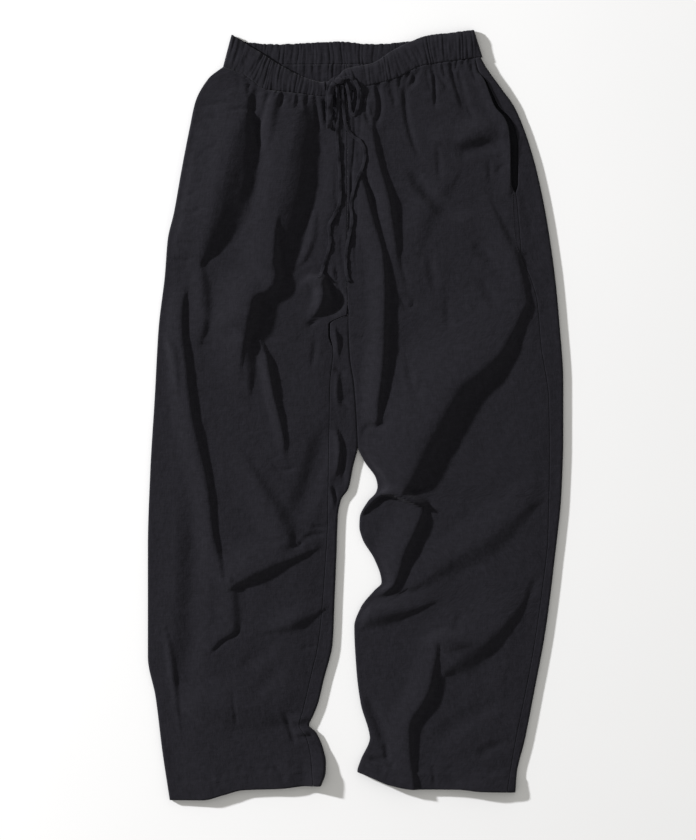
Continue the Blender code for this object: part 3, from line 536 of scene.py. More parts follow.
def fold_height(x, y, fold):
    """Height that one fold adds at the points (x, y)."""
    gentle, steep, crest = fold
    line = spline(crest, FOLD_STEP)
    result = np.zeros(x.shape)
    near = near_to(line, max(gentle, steep * line[:, 2].max()), x, y)
    if not near.any():
        return result
    distance, side, place = nearest_on(line, x[near], y[near])
    height = np.interp(place, np.arange(len(line)), line[:, 2])
    width = np.where(side > 0.0, np.maximum(steep * height, LEAST_STEEP), gentle)
    result[near] = height * (1.0 - smooth_step(distance / width))
    return result


def crease_height(x, y, crease):
    """Depth that one crease adds at the points (x, y), tapered to both its ends."""
    depth, width, bottom = crease
    line = spline(bottom, CREASE_STEP)
    result = np.zeros(x.shape)
    near = near_to(line, width, x, y)
    if not near.any():
        return result
    distance, _, place = nearest_on(line, x[near], y[near])
    place = place / (len(line) - 1)
    fade = within(place, 0.0, 1.0, CREASE_TAPER)
    fade = CREASE_END + (1.0 - CREASE_END) * fade
    result[near] = depth * fade * (1.0 - smooth_step(distance / width))
    return result


def small_gathers():
    """Short creases that run down from the waistband's seam, uneven in place and length."""
    creases = []
    x = PUCKER_START
    while x < PUCKER_END:
        x += float(RANDOM.uniform(*PUCKER_STEP))
        length = float(RANDOM.choice(PUCKER_LENGTHS, p=PUCKER_SHARES))
        lean = float(RANDOM.uniform(-PUCKER_LEAN, PUCKER_LEAN)) + math.copysign(PUCKER_SPLAY, x)
        top = float(along(BAND_LOWER, x)) + 3.0
        creases.append((-float(RANDOM.uniform(*PUCKER_DEPTH)), float(RANDOM.uniform(*PUCKER_WIDTH)),
                        ((x, top), (x + 0.5 * lean * length, top - 0.5 * length),
                         (x + lean * length, top - length))))
    return creases


SMALL_GATHERS = small_gathers()


def lie_height(y):
    """Height of the cloth's top surface at a side edge."""
    return LIE_HEIGHT + BAND_LIFT * smooth_step((y - BAND_LIFT_Y) / 50.0)


def gather_wave(x, count):
    """Uneven round pleats across the waist, from -1 in a valley to 1 on a pleat."""
    phase = (x - BAND_START) / (BAND_END - BAND_START) * count
    phase = phase + 0.45 * np.sin(phase * 0.71) + 0.3 * np.sin(phase * 1.93 + 1.0)
    depth = 0.7 + 0.3 * np.sin(phase * 0.83 + 2.0)
    ripple = np.sqrt(np.sin(math.pi * phase) ** 2 + 0.03)
    return (1.0 - 2.0 * (1.015 - ripple) ** 1.5) * depth


def pleats(x, y, count):
    """Pleats across the waist that merge, part and fade along their length."""
    return 0.6 * gather_wave(x, count) + 0.75 * CRUMPLES[2][1].at(3.4 * x, 0.6 * y)


def top_height(x, y, calm=1.0, inset=100.0):
    """Height of the cloth's top surface. Calm is 0 at a side edge, where no fold lifts it,
    and inset is the distance from that edge."""
    x = np.asarray(x, dtype=float)
    y = np.asarray(y, dtype=float)
    folds = sum(fold_height(x, y, fold)
                for table in (RIGHT_FOLDS, LEFT_FOLDS) for fold in table.values())
    creases = sum(crease_height(x, y, crease)
                  for table in (RIGHT_CREASES, LEFT_CREASES) for crease in table.values())
    creases = creases + sum(crease_height(x, y, crease) for crease in SMALL_GATHERS)
    small = sum(height * hills.at(x, y) for height, hills in CRUMPLES)
    below = along(BAND_LOWER, x) - y
    gathers = (GATHER_HEIGHT * np.exp(-np.maximum(below, 0.0) / GATHER_FADE)
               * pleats(x, -below, FRONT_GATHERS))
    lift = sum(fold_height(x, y, fold) for fold in LIFTS.values())
    to_waist = smooth_step((y - PILLOW_TOP) / 60.0)
    pillow = PILLOW * smooth_step(inset / PILLOW_REACH) * (1.0 - to_waist)
    height = lie_height(y) + pillow + (folds + small + creases) * calm + gathers + lift
    return np.maximum(height, LEAST_HEIGHT + LEAST_SQUASH * (height - LEAST_HEIGHT))


def hem_step(heights, x):
    """The turned hem's second layer, which puckers a little along its stitch line."""
    above = np.broadcast_to(np.asarray(heights)[:, None] - HEM_Y - HEM_DEPTH, x.shape)
    layer = HEM_STEP * (1.0 - smooth_step((above + 1.5) / 3.0))
    pucker = HEM_PUCKER * CRUMPLES[2][1].at(1.6 * x, above) * np.exp(-(above / 9.0) ** 2)
    return layer + pucker


def under_height(x, y, calm):
    """How far the underside is pressed in from the surface that the pants lie on."""
    creases = sum(-crease_height(x, y, (-depth, width, line))
                  for depth, width, line in BACK_CREASES.values())
    small = 0.25 * (1.0 + CRUMPLES[1][1].at(x + 300.0, y))
    below = along(BACK_LOWER, x) - y
    gathers = (UNDER_GATHER * np.exp(-np.maximum(below, 0.0) / UNDER_GATHER_FADE)
               * (1.0 + pleats(x + 0.04 * below, y, BACK_GATHERS)))
    return (creases + small) * calm + gathers


def inner_edge(table, y):
    """The centre seam above the crotch, and the leg's inner edge below it."""
    sign = -1.0 if table is RIGHT_INNER else 1.0
    below = smooth_step((CROTCH_Y - y) / 20.0)
    parted = below * smooth_step((LEGS_PART_Y - y) / 20.0)
    closed = below * smooth_step((y - LEGS_MEET_Y) / 20.0)
    gap = SEAM_GAP + (LEG_GAP - SEAM_GAP) * parted - LEG_OVERLAP * closed
    return along(table, y) + sign * 0.5 * gap


class Row:
    """One row round a flattened leg: its straight run and its two round edges."""

    def __init__(self, leg, row_y, top_line):
        self.leg, self.row_y, self.top_line = leg, row_y, top_line
        left, right = leg.edges(row_y)
        for _ in range(3):
            left = leg.edges(self.true_y(left))[0]
            right = leg.edges(self.true_y(right))[1]
        self.parted = float(smooth_step((CROTCH_Y - row_y) / CROTCH_DEPTH))
        inner_bulge = EDGE_BULGE * self.parted
        self.left_bulge = EDGE_BULGE if leg.wearer_right else inner_bulge
        self.right_bulge = inner_bulge if leg.wearer_right else EDGE_BULGE
        self.start = left + self.left_bulge
        self.end = right - self.right_bulge
        self.width = self.end - self.start
        self.whole = 2 * EDGE_ARC + 2 * self.width

    def true_y(self, x):
        """True y of the points x of the row, which bends to the hem and to the waist seam."""
        to_top = smooth_step((self.row_y - TOP_BEND_Y) / (TOP_Y - TOP_BEND_Y))
        to_hem = smooth_step((HEM_BEND_Y - self.row_y) / (HEM_BEND_Y - HEM_Y))
        return (self.row_y + to_top * (along(self.top_line, x) - TOP_Y)
                + to_hem * (along(self.leg.hem, x) - HEM_Y))

    def points(self, places):
        """Points at the given places round the tube, measured from the bottom left corner."""
        s = np.mod(places, self.whole)
        on_left = s < EDGE_ARC
        on_top = (s >= EDGE_ARC) & (s < EDGE_ARC + self.width)
        on_right = (s >= EDGE_ARC + self.width) & (s < 2 * EDGE_ARC + self.width)
        left_turn = math.pi * s / EDGE_ARC
        right_turn = math.pi * (s - EDGE_ARC - self.width) / EDGE_ARC
        x = np.select((on_left, on_top, on_right),
                      (self.start - self.left_bulge * np.sin(left_turn),
                       self.start + s - EDGE_ARC,
                       self.end + self.right_bulge * np.sin(right_turn)),
                      self.end - (s - 2 * EDGE_ARC - self.width))
        share = np.select((on_left, on_top, on_right),
                          (0.5 - 0.5 * np.cos(left_turn), 1.0, 0.5 + 0.5 * np.cos(right_turn)),
                          0.0)
        return x, self.true_y(x), share

    def inset(self, x):
        """Distance of the points x from the nearer open edge of the row."""
        from_left, from_right = x - self.start, self.end - x
        if self.leg.wearer_right:
            from_right = from_right + 100.0 * (1.0 - self.parted)
        else:
            from_left = from_left + 100.0 * (1.0 - self.parted)
        return np.minimum(from_left, from_right)

    def facing(self, place):
        """The way the unfolded tube faces at a place round it."""
        s = place % self.whole
        if s < EDGE_ARC:
            turn = math.pi * s / EDGE_ARC
            return (-math.sin(turn), 0.0, -math.cos(turn))
        if s < EDGE_ARC + self.width:
            return (0.0, 0.0, 1.0)
        if s < 2 * EDGE_ARC + self.width:
            turn = math.pi * (s - EDGE_ARC - self.width) / EDGE_ARC
            return (math.sin(turn), 0.0, math.cos(turn))
        return (0.0, 0.0, -1.0)

    def place_of_seam(self, seam):
        """Place round the tube of a seam on the top run, given as x at each true y."""
        x = seam(self.row_y)
        for _ in range(3):
            x = seam(self.true_y(x))
        return EDGE_ARC + x - self.start


class Leg:
    """One leg and its half of the hips."""

    def __init__(self, wearer_right):
        self.wearer_right = wearer_right
        self.hem = RIGHT_HEM if wearer_right else LEFT_HEM

    def edges(self, y):
        if self.wearer_right:
            return along(RIGHT_OUTER, y), inner_edge(RIGHT_INNER, y)
        return inner_edge(LEFT_INNER, y), along(LEFT_OUTER, y)


def spread(stops, cells):
    """Places that divide each stretch between two stops into its number of cells."""
    parts = [np.linspace(a, b, n, endpoint=False) for a, b, n in zip(stops, stops[1:], cells)]
    return np.concatenate(parts + [[stops[-1]]])


def climb(row_y):
    """1 at the crotch point, 0 where the back's centre seam lies on the surface again."""
    return float(np.clip(1.0 - (row_y - CROTCH_Y) / CROTCH_DEPTH, 0.0, 1.0))


def crotch_ease(row_y):
    """How far the front's seam edge keeps clear of the back's wall at the crotch point."""
    return (SKIN + 0.7) * (1.0 - float(smooth_step((row_y - CROTCH_Y - 1.0) / 11.0)))


def half_gap(row_y):
    """Half the gap between front and back, wider round the crotch point."""
    near = 1.0 - abs(row_y - CROTCH_Y) / (CROTCH_DEPTH + 10.0)
    return 0.5 * (SEAM_GAP + (CROTCH_GAP - SEAM_GAP) * float(smooth_step(3.0 * near)))


def right_inseam(y):
    return along(RIGHT_INSEAM, y)


def left_side_front(y):
    return along(LEFT_SIDE, y)


def left_side_back(y):
    return along(LEFT_SIDE, y) + along(POCKET_MOUTH, y)


def right_seam(row):
    """Place of the wearer's right inseam, or of the centre front seam above the crotch."""
    corner = EDGE_ARC + row.width
    if row.row_y >= CROTCH_Y:
        return corner
    return min(corner, row.place_of_seam(right_inseam))


def left_seam(row_y):
    """Place of the wearer's left inseam, which turns under the inner edge."""
    turned = float(np.clip((CROTCH_Y - row_y) / CROTCH_DEPTH, 0.0, 1.0))
    return EDGE_ARC - turned * (EDGE_ARC + 12.0)


def with_rolls(start, end):
    """Stops just inside the two seam edges, so that each edge can roll in."""
    return start + SEAM_LIP, start + SEAM_ROLL, end - SEAM_ROLL, end - SEAM_LIP


def right_front_row(row):
    end = right_seam(row)
    if row.row_y >= CROTCH_Y:
        end -= crotch_ease(row.row_y)
    else:
        end -= half_gap(row.row_y)
    start = EDGE_ARC / 2 + SEAM_GAP / 2
    _, _, roll, rim = with_rolls(start, end)
    return spread((start, EDGE_ARC, roll, rim, end), (4, 96, 2, 1))


def right_back_row(row):
    corner = 2 * EDGE_ARC + row.width
    if row.row_y >= CROTCH_Y:
        start = corner - EDGE_ARC * climb(row.row_y)
    else:
        start = right_seam(row)
    start += half_gap(row.row_y)
    on_top = max(EDGE_ARC + row.width, start + 5.0)
    on_floor = max(corner, on_top + 7.5)
    far = 2 * EDGE_ARC + 2 * row.width
    rim, roll, _, _ = with_rolls(start, far)
    seen = on_floor + 0.4 * (far - on_floor)
    return spread((start, rim, roll, on_top, on_floor, seen, far,
                   far + EDGE_ARC / 2 - SEAM_GAP / 2), (1, 1, 13, 6, 54, 14, 4))


def left_front_row(row):
    start = left_seam(row.row_y)
    if row.row_y >= CROTCH_Y:
        start += crotch_ease(row.row_y)
    else:
        start += half_gap(row.row_y)
    side = row.place_of_seam(left_side_front) - SEAM_GAP / 2
    on_edge = max(0.0, start + 2.5)
    on_top = max(EDGE_ARC, on_edge + 7.5)
    _, _, roll, rim = with_rolls(start, side)
    return spread((start, on_edge, on_top, roll, rim, side), (3, 6, 92, 2, 1))


def left_back_row(row):
    start = row.place_of_seam(left_side_back) + SEAM_GAP / 2
    if row.row_y >= CROTCH_Y:
        end = row.whole + EDGE_ARC * climb(row.row_y)
    else:
        end = row.whole + left_seam(row.row_y)
    end -= half_gap(row.row_y)
    last = min(row.whole, end - 7.5)
    rim, roll, _, _ = with_rolls(start, end)
    corner = 2 * EDGE_ARC + row.width
    seen = last - 0.42 * (last - corner)
    return spread((start, rim, roll, EDGE_ARC + row.width, corner, seen, last, end),
                  (1, 1, 8, 7, 14, 56, 4))


class Socket:
    """A shader value that Python's own operators work on."""

    def __init__(self, tree, socket):
        self.tree, self.socket = tree, socket

    def math(self, operation, *values):
        return self.tree.node("ShaderNodeMath", {"operation": operation}, *values)

    def __add__(self, other):
        return self.math("ADD", self, other)

    def __radd__(self, other):
        return self.math("ADD", other, self)

    def __mul__(self, other):
        return self.math("MULTIPLY", self, other)

    def __rmul__(self, other):
        return self.math("MULTIPLY", other, self)

    def sine(self):
        return self.math("SINE", self)


class Tree:
    """A material's node tree."""

    def __init__(self, name):
        self.material = bpy.data.materials.new(name)
        self.material.use_nodes = True
        self.nodes = self.material.node_tree.nodes
        self.links = self.material.node_tree.links
        self.shader = self.nodes["Principled BSDF"]

    def feed(self, socket, value):
        if isinstance(value, Socket):
            self.links.new(value.socket, socket)
        else:
            socket.default_value = value

    def node(self, kind, settings=None, *values, output=0, **named):
        """Add a node: its settings first, then its inputs, in order or by name."""
        node = self.nodes.new(kind)
        for key, value in (settings or {}).items():
            setattr(node, key, value)
        for number, value in enumerate(values):
            self.feed(node.inputs[number], value)
        for key, value in named.items():
            self.feed(node.inputs[key.replace("_", " ")], value)
        return Socket(self, node.outputs[output])

    def ramp(self, factor, stops):
        """A colour ramp whose stops are (position, colour)."""
        result = self.node("ShaderNodeValToRGB", None, factor)
        elements = result.socket.node.color_ramp.elements
        for number, (position, colour) in enumerate(stops):
            element = elements[number] if number < 2 else elements.new(position)
            element.position = position
            element.color = (*colour, 1.0)
        return result

    def set(self, **values):
        for key, value in values.items():
            self.feed(self.shader.inputs[key.replace("_", " ")], value)
        return self.material


def streaks(tree, cloth, across, down):
    """Noise stretched along one way of the cloth: scales for a metre across and down."""
    scaled = tree.node("ShaderNodeVectorMath", {"operation": "MULTIPLY"}, cloth,
                       (across, down, 1.0))
    return tree.node("ShaderNodeTexNoise", {"noise_dimensions": "2D"}, Vector=scaled,
                     Scale=1.0, Detail=2.0)


def tint(colour, share):
    """The colour made darker or lighter."""
    return tuple(share * c for c in colour)


def linen(name, colour):
    """Plain-woven linen: crossing threads with slubs, crumpled, from the cloth's own UV in
    metres."""
    tree = Tree(name)
    cloth = tree.node("ShaderNodeUVMap", {"uv_map": "cloth"})
    across = tree.node("ShaderNodeSeparateXYZ", None, cloth)
    down = Socket(tree, across.socket.node.outputs[1])
    fine_weft = streaks(tree, cloth, 90.0, 1500.0)
    fine_warp = streaks(tree, cloth, 1500.0, 90.0)
    slub_weft = streaks(tree, cloth, 55.0, 760.0)
    slub_warp = streaks(tree, cloth, 760.0, 50.0)
    turn = 2.0 * math.pi / (THREAD_PITCH * MM)
    warp = (across * turn + fine_warp * 3.0).sine()
    weft = (down * turn + fine_weft * 3.0).sine()
    threads = (warp + weft) * 0.25 + (fine_weft + fine_warp) * 0.5
    wear = tree.node("ShaderNodeTexNoise", None, Vector=cloth, Scale=130.0, Detail=5.0,
                     Roughness=0.65)
    mix = threads * 0.3 + slub_weft * 0.16 + slub_warp * 0.16 + wear * 0.38
    tone = tree.ramp(mix, ((0.39, tint(colour, 0.7)), (0.5, colour), (0.61, tint(colour, 1.32))))
    crumple = tree.node("ShaderNodeTexNoise", {"noise_dimensions": "2D"}, Vector=cloth,
                        Scale=150.0, Detail=4.0, Roughness=0.65)
    soft = tree.node("ShaderNodeBump", None, Strength=0.7, Distance=1.2 * MM,
                     Height=crumple + slub_weft * 0.12)
    bump = tree.node("ShaderNodeBump", None, Strength=0.3, Distance=0.25 * MM,
                     Height=threads, Normal=soft)
    return tree.set(Base_Color=tone, Diffuse_Roughness=1.0, Roughness=0.94,
                    Specular_IOR_Level=0.1, Sheen_Weight=0.05, Sheen_Roughness=0.5,
                    Normal=bump)


def thread_finish(name, colour):
    """Twisted sewing thread."""
    tree = Tree(name)
    place = tree.node("ShaderNodeTexCoord", None, output=3)
    twist = tree.node("ShaderNodeTexNoise", None, Vector=place, Scale=2400.0, Detail=2.0)
    tone = tree.ramp(twist, ((0.3, tint(colour, 0.7)), (0.7, colour)))
    return tree.set(Base_Color=tone, Roughness=0.7, Specular_IOR_Level=0.2)


def floor_finish():
    tree = Tree("pale_floor")
    place = tree.node("ShaderNodeTexCoord", None, output=3)
    mottle = tree.node("ShaderNodeTexNoise", None, Vector=place, Scale=3.0, Detail=2.0)
    tone = tree.ramp(mottle, ((0.2, (0.89, 0.892, 0.9)), (0.8, (0.905, 0.906, 0.912))))
    return tree.set(Base_Color=tone, Roughness=0.9, Specular_IOR_Level=0.0)


def normals_of(points):
    """Unit normals of a grid of points, rows along the length and columns across."""
    across = np.gradient(points, axis=1, edge_order=2)
    lengthwise = np.gradient(points, axis=0, edge_order=2)
    normals = np.cross(across, lengthwise)
    return normals / np.linalg.norm(normals, axis=2, keepdims=True)


def grid_mesh(points):
    """A sheet through a grid of points, with its own UV in metres of cloth."""
    rows, columns = points.shape[:2]
    mesh = bmesh.new()
    bmesh.ops.create_grid(mesh, x_segments=columns - 1, y_segments=rows - 1, size=1.0)
    order = sorted(mesh.verts, key=lambda v: (round(v.co.y, 5), round(v.co.x, 5)))
    across = np.linalg.norm(np.diff(points, axis=1), axis=2)
    across = np.hstack((np.zeros((rows, 1)), np.cumsum(across, axis=1))) * MM
    down = np.linalg.norm(np.diff(points, axis=0), axis=2).mean(axis=1)
    down = np.concatenate(([0.0], np.cumsum(down))) * MM
    layer = mesh.loops.layers.uv.new("cloth")
    for number, vertex in enumerate(order):
        row, column = divmod(number, columns)
        vertex.co = points[row, column] * MM
        for loop in vertex.link_loops:
            loop[layer].uv = (across[row, column], down[row])
    return mesh


def finish_mesh(mesh, name):
    """Turn a bmesh into mesh data with smooth shading."""
    data = bpy.data.meshes.new(name)
    mesh.to_mesh(data)
    mesh.free()
    data.shade_smooth()
    return data


def add_to_scene(name, data):
    """Put a new object for the data into the scene."""
    item = bpy.data.objects.new(name, data)
    bpy.context.scene.collection.objects.link(item)
    return item


def add_object(name, data, material, node):
    piece = add_to_scene(name, data)
    data.materials.append(material)
    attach(piece, "root")
    if node:
        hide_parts(node)
    return piece


def cloth(name, points, skin, material, node, slot, area, sewn=()):
    """A thin sheet of cloth that stands for a node of the frame."""
    piece = add_object(name, finish_mesh(grid_mesh(points), name), material, node)
    wall = piece.modifiers.new("wall", "SOLIDIFY")
    wall.thickness = skin * MM
    wall.offset = -1.0
    wall.use_rim = True
    return piece


def add_stitches(name, lines, material):
    """Rows of single stitches, each a short thread that dips into the cloth at both ends."""
    curve = bpy.data.curves.new(name, "CURVE")
    curve.dimensions = "3D"
    curve.bevel_depth = STITCH_RADIUS * MM
    curve.bevel_resolution = 1
    for line in lines:
        steps = np.linalg.norm(np.diff(line, axis=0), axis=1)
        reach = np.concatenate(([0.0], np.cumsum(steps)))
        for start in np.arange(STITCH_PITCH, reach[-1] - STITCH_PITCH, STITCH_PITCH):
            thread = curve.splines.new("POLY")
            thread.points.add(len(STITCH_PROFILE) - 1)
            for point, (share, dip) in zip(thread.points, STITCH_PROFILE):
                place = start + STITCH_LENGTH * share
                x, y, z = (np.interp(place, reach, column) for column in line.T)
                point.co = (x * MM, y * MM, (z + dip) * MM, 1.0)
    return add_object(name, curve, material, None)


def add_panels(material, thread):
    """The four leg panels, cut from the tubes of the two legs, with their hems' stitches."""
    heights = np.linspace(HEM_Y, TOP_Y, round((TOP_Y - HEM_Y) / ROW_PITCH) + 1)
    makers = (
        ("right_front_cloth", "right_front", True, right_front_row, BAND_LOWER, 0.205),
        ("right_back_cloth", "right_back", True, right_back_row, BACK_LOWER, 0.235),
        ("left_front_cloth", "left_front", False, left_front_row, BAND_LOWER, 0.205),
        ("left_back_cloth", "left_back", False, left_back_row, BACK_LOWER, 0.235),
    )
    tops = {}
    for name, node, wearer_right, row_places, top_line, area in makers:
        leg = Leg(wearer_right)
        rows = [Row(leg, y, top_line) for y in heights]
        places = [row_places(row) for row in rows]
        shape = [row.points(place) for row, place in zip(rows, places)]
        x = np.array([part[0] for part in shape])
        y = np.array([part[1] for part in shape])
        share = np.array([part[2] for part in shape])
        crown_x = np.array([np.clip(part[0], row.start, row.end)
                            for row, part in zip(rows, shape)])
        inset = np.array([row.inset(line) for row, line in zip(rows, crown_x)])
        calm = smooth_step((inset + 2.0) / EDGE_CALM)
        top = top_height(crown_x, y, calm, inset) + hem_step(heights, crown_x)
        under = np.minimum(under_height(crown_x, y, calm), top - LEAST_THICKNESS)
        points = np.dstack((x, y, top * share + under * (1.0 - share)))
        normals = normals_of(points)
        for end in (0, -1):
            normals[:, end] = [row.facing(place[end]) for row, place in zip(rows, places)]
            normals[:, end] /= np.linalg.norm(normals[:, end], axis=1, keepdims=True)
        points[:, 0] -= normals[:, 0] * SEAM_DIP
        points[:, -1] -= normals[:, -1] * SEAM_DIP
        hem_row = int(round(HEM_DEPTH / (heights[1] - heights[0])))
        seen = points[hem_row][points[hem_row][:, 2] > 2.0] - (0.0, HEM_STITCH_DROP, 0.0)
        sewn = [add_stitches(node + "_hem_stitches", [seen], thread)]
        if node == "left_front":
            sewn.append(add_pocket_stitches(thread))
        cloth(name, points, SKIN, material, node, "linen", area, sewn)
        tops[node] = points[-1]
    return tops


def on_top(points):
    """The points (x, y) laid on the cloth's top surface."""
    flat = spline(points, 1.5)
    return np.column_stack((flat, top_height(flat[:, 0], flat[:, 1])))


def add_pocket_stitches(thread):
    """The stitches that close the side pocket's lower end, with a bar tack across it."""
    lines = [on_top(route) for route in POCKET_STITCHES]
    return add_stitches("left_pocket_stitches", lines, thread)


def seam_line(*rows):
    """The line along the top of panels, read as y at each x."""
    points = np.vstack(rows)
    points = points[np.argsort(points[:, 0])]
    return lambda x: np.interp(x, points[:, 0], points[:, 1]) + 0.5 * SEAM_GAP


def band_points(seam, upper_line, cells, rows, front):
    """Points of one half of the waistband, from its seam to its top edge."""
    grid = []
    turn = np.linspace(0.5, 1.0 if front else 0.0, 4, endpoint=False) * math.pi
    for share in np.linspace(0.0, 1.0, rows):
        start = BAND_START + BAND_TAPER * share + EDGE_BULGE
        end = BAND_END - BAND_TAPER * share - EDGE_BULGE
        x = np.concatenate((start - EDGE_BULGE * np.sin(turn), np.linspace(start, end, cells + 1),
                            end + EDGE_BULGE * np.sin(turn[::-1])))
        level = 1.0 if front else 0.0
        rise = np.concatenate((0.5 - 0.5 * np.cos(turn), np.full(cells + 1, level),
                               0.5 - 0.5 * np.cos(turn[::-1])))
        lower = seam(x)
        y = lower + share * (along(upper_line, x) - lower)
        grid.append(np.column_stack((x, y, lie_height(y) * rise)))
    return np.array(grid)


def add_front_band(seam, material):
    """The front of the waistband: an elastic casing, gathered into round pleats."""
    points = band_points(seam, BAND_UPPER, FRONT_GATHERS * BAND_CELLS, BAND_ROWS, True)
    x = points[..., 0]
    up = points[..., 1] - points[0, :, 1]
    share = np.linspace(0.0, 1.0, BAND_ROWS)[:, None]
    inside = within(x, BAND_START + 4.0, BAND_END - 4.0, 10.0)
    slope = np.gradient(along(BAND_LOWER, x[0]), x[0])
    slope = np.convolve(np.pad(slope, 20, mode="edge"), np.ones(41) / 41.0, mode="valid")
    sway = 1.2 * np.sin(share * 3.0 + x * 0.06) + 0.8 * slope * up
    pleat = pleats(x + sway, up, FRONT_GATHERS)
    crown = BAND_CROWN * np.sin(math.pi * np.clip(share, 0.03, 0.97)) ** 0.5
    roll = (-BAND_ROLL * smooth_step((share - 0.84) / 0.16)
            - BAND_FOOT_ROLL * smooth_step((0.07 - share) / 0.07))
    stitched = -BAND_STITCH_DEPTH * np.exp(-((share - BAND_STITCH_SHARE) / 0.03) ** 2)
    points[..., 2] += (GATHER_HEIGHT * pleat + crown + roll + stitched) * inside
    points[..., 1] += BAND_RUFFLE * smooth_step((share - 0.8) / 0.2) * pleat * inside
    cloth("waistband_front_cloth", points, BAND_SKIN, material, "waistband_front", "linen",
          0.0125)


def add_back_band(seam, material):
    """The back of the waistband, seen from inside: pleats over a flat underside."""
    cells = BACK_GATHERS * BACK_BAND_CELLS
    points = band_points(seam, BACK_UPPER, cells, BACK_BAND_ROWS, False)[:, ::-1]
    x = points[..., 0]
    share = np.linspace(0.0, 1.0, BACK_BAND_ROWS)[:, None]
    pleat = pleats(x + 1.5 * np.sin(share * 2.5 + x * 0.05), points[..., 1], BACK_GATHERS)
    inside = within(x, BAND_START + 8.0, BAND_END - 8.0, 12.0)
    points[..., 2] += (BACK_BAND_RISE + BACK_BAND_PLEAT * pleat) * inside
    points[..., 1] += BACK_BAND_RUFFLE * smooth_step((share - 0.8) / 0.2) * pleat * inside
    cloth("waistband_back_cloth", points, BACK_BAND_SKIN, material, "waistband_back", "linen",
          0.0130)


def add_pocket_bag(material):
    """The dark pocket cloth inside the open side pocket."""
    rows = []
    for y in np.linspace(*POCKET_BAG_Y, POCKET_BAG_CELLS[0]):
        x = np.linspace(left_side_front(y) - POCKET_BAG_PAST[0],
                        left_side_back(y) + POCKET_BAG_PAST[1], POCKET_BAG_CELLS[1])
        sag = POCKET_BAG_SAG * np.sin(x * 0.5 + y * 0.05)
        z = lie_height(y) - SKIN - POCKET_BAG_DEPTH + sag
        rows.append(np.column_stack((x, np.full(x.shape, y), z)))
    cloth("pocket_bag_cloth", np.array(rows), POCKET_SKIN, material, "left_pocket_bag",
          "pocket_cloth", 0.0038)


def tie_height(points):
    """Height of the drawstring's centre line, lying over the folds and gathers."""
    reach = TIE_WIDTH / 2
    highest = np.max([top_height(points[:, 0] + dx, points[:, 1] + dy)
                      for dx in (-reach, 0.0, reach) for dy in (-reach, 0.0, reach)], axis=0)
    over_band = smooth_step((points[:, 1] - TIE_BAND_Y) / 15.0) * TIE_OVER_BAND
    return highest + over_band + TIE_CLEARANCE + TIE_THICKNESS / 2


def tube_points(path, widths, thickness, turns):
    """Rows of points round a flattened cord along a path."""
    tangents = np.gradient(path, axis=0)
    tangents /= np.linalg.norm(tangents, axis=1, keepdims=True)
    side = np.cross((0.0, 0.0, 1.0), tangents[0])
    sideways = []
    for tangent in tangents:
        side = side - tangent * side.dot(tangent)
        side = side / np.linalg.norm(side)
        sideways.append(side)
    upwards = np.cross(tangents, sideways)
    angles = np.linspace(0.0, -2.0 * math.pi, TIE_SIDES + 1)
    grid = []
    for centre, side, up, width, roll in zip(path, sideways, upwards, widths, turns):
        flat_x = 0.5 * width * np.cos(angles)
        flat_z = 0.5 * thickness * np.sin(angles) + TIE_HOLLOW * np.cos(2.0 * angles)
        c, s = math.cos(roll), math.sin(roll)
        grid.append(centre + np.outer(flat_x * c - flat_z * s, side)
                    + np.outer(flat_x * s + flat_z * c, up))
    return np.array(grid)


def tie_mesh(name, path, widths, thickness, turns):
    """A closed flattened cord: a sheet rolled into a tube, its ends filled."""
    mesh = grid_mesh(tube_points(path, widths, thickness, turns))
    bmesh.ops.remove_doubles(mesh, verts=mesh.verts, dist=0.00001)
    bmesh.ops.holes_fill(mesh, edges=[e for e in mesh.edges if e.is_boundary], sides=0)
    bmesh.ops.recalc_face_normals(mesh, faces=mesh.faces)
    return finish_mesh(mesh, name)


def add_ties(material):
    """The knot, the two loops and the two free ends of the drawstring."""
    pieces = {}
    for name, route in TIE_ROUTES.items():
        loop = name.endswith("loop")
        lifted = spline(route, LOOP_STEP if loop else END_STEP)
        path = np.column_stack((lifted[:, :2], tie_height(lifted[:, :2]) + lifted[:, 2]))
        steps = np.arange(len(path))
        crinkle = 0.5 * np.sin(steps * 0.9) + 0.35 * np.sin(steps * 1.7 + 1.0)
        widths = TIE_WIDTHS[name] + 0.7 * crinkle
        turns = 0.3 * np.sin(steps * 0.33 + (1.0 if loop else 0.0)) + 0.18 * crinkle
        data = tie_mesh(name + "_cord", path, widths, TIE_THICKNESS, turns)
        pieces[name] = (add_object(name + "_cord", data, material, name), path)
    mesh = bmesh.new()
    bmesh.ops.create_uvsphere(mesh, u_segments=32, v_segments=18, radius=0.5 * MM)
    bmesh.ops.scale(mesh, vec=Vector(KNOT_SIZE), verts=mesh.verts)
    lift = tie_height(np.array([KNOT]))[0] + KNOT_SIZE[2] / 2 - TIE_THICKNESS / 2
    bmesh.ops.translate(mesh, vec=Vector((KNOT[0], KNOT[1], lift)) * MM, verts=mesh.verts)
    layer = mesh.loops.layers.uv.new("cloth")
    for face in mesh.faces:
        for loop in face.loops:
            loop[layer].uv = (loop.vert.co.x, loop.vert.co.y)
    knot = add_object("tie_knot_cord", finish_mesh(mesh, "tie_knot_cord"), material, "tie_knot")
    for name in ("tie_right_end", "tie_left_end"):
        piece, path = pieces[name]


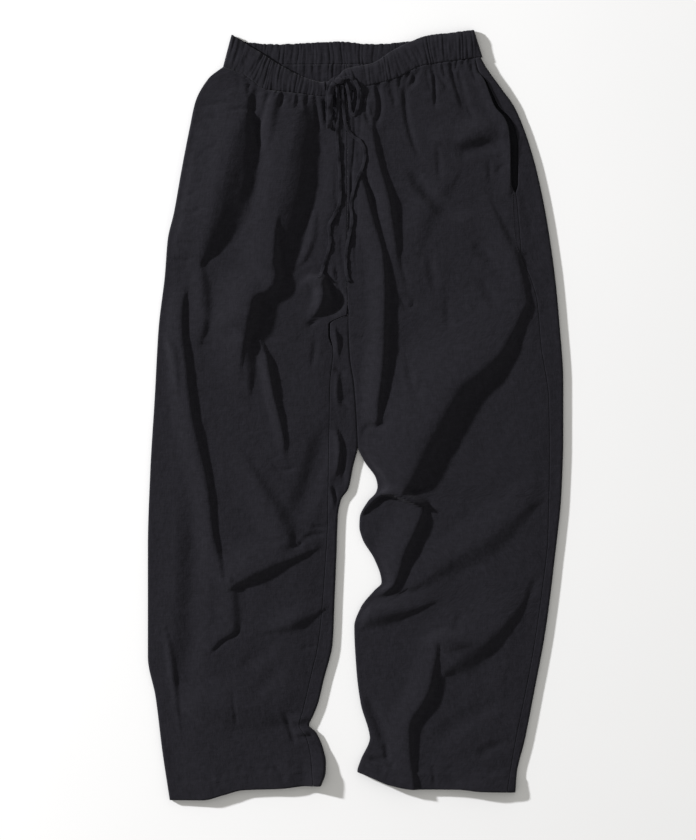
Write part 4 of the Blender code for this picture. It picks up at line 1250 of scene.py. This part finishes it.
def build_camera():
    camera = bpy.data.cameras.new("camera")
    camera.sensor_fit = "VERTICAL"
    camera.sensor_height = SENSOR_HEIGHT
    camera.lens = SENSOR_HEIGHT * CAMERA_DISTANCE / (VIEW_HEIGHT * MM)
    holder = add_to_scene("camera", camera)
    holder.location = (VIEW_CENTRE[0] * MM, VIEW_CENTRE[1] * MM, CAMERA_DISTANCE)
    bpy.context.scene.camera = holder


def build_stage():
    """The plain pale floor, the low key light from the wearer's right and the soft fill."""
    bpy.context.scene.view_settings.view_transform = "Standard"
    mesh = bmesh.new()
    bmesh.ops.create_grid(mesh, x_segments=1, y_segments=1, size=FLOOR_SIZE)
    bmesh.ops.translate(mesh, vec=(0.0, 0.0, FLOOR_Z), verts=mesh.verts)
    data = finish_mesh(mesh, "floor")
    data.materials.append(floor_finish())
    add_to_scene("floor", data)

    light = bpy.data.lights.new("key", "AREA")
    light.shape = "DISK"
    light.size = KEY_SIZE
    light.energy = KEY_POWER
    light.color = KEY_COLOUR
    key = add_to_scene("key", light)
    flat = math.cos(KEY_ELEVATION)
    travel = Vector((flat * math.cos(KEY_HEADING), flat * math.sin(KEY_HEADING),
                     -math.sin(KEY_ELEVATION)))
    key.location = -KEY_DISTANCE * travel
    key.rotation_euler = travel.to_track_quat("-Z", "Y").to_euler()

    world = bpy.data.worlds.new("studio")
    world.use_nodes = True
    background = world.node_tree.nodes["Background"]
    background.inputs["Color"].default_value = FILL_COLOUR
    background.inputs["Strength"].default_value = FILL_STRENGTH
    bpy.context.scene.world = world


def main():
    build_camera()
    add_ties(linen("drawstring", LINEN_COLOUR))
    build_stage()
    main_linen = linen("linen", LINEN_COLOUR)
    thread = thread_finish("sewing_thread", THREAD_COLOUR)
    tops = add_panels(main_linen, thread)
    half_height = (LIE_HEIGHT + BAND_LIFT) / 2
    upper = [row[row[:, 2] > half_height] for row in tops.values()]
    lower = [row[row[:, 2] < half_height] for row in tops.values()]
    add_front_band(seam_line(*upper), main_linen)
    add_back_band(seam_line(*lower), main_linen)
    add_pocket_bag(linen("pocket_cloth", POCKET_COLOUR))


main()
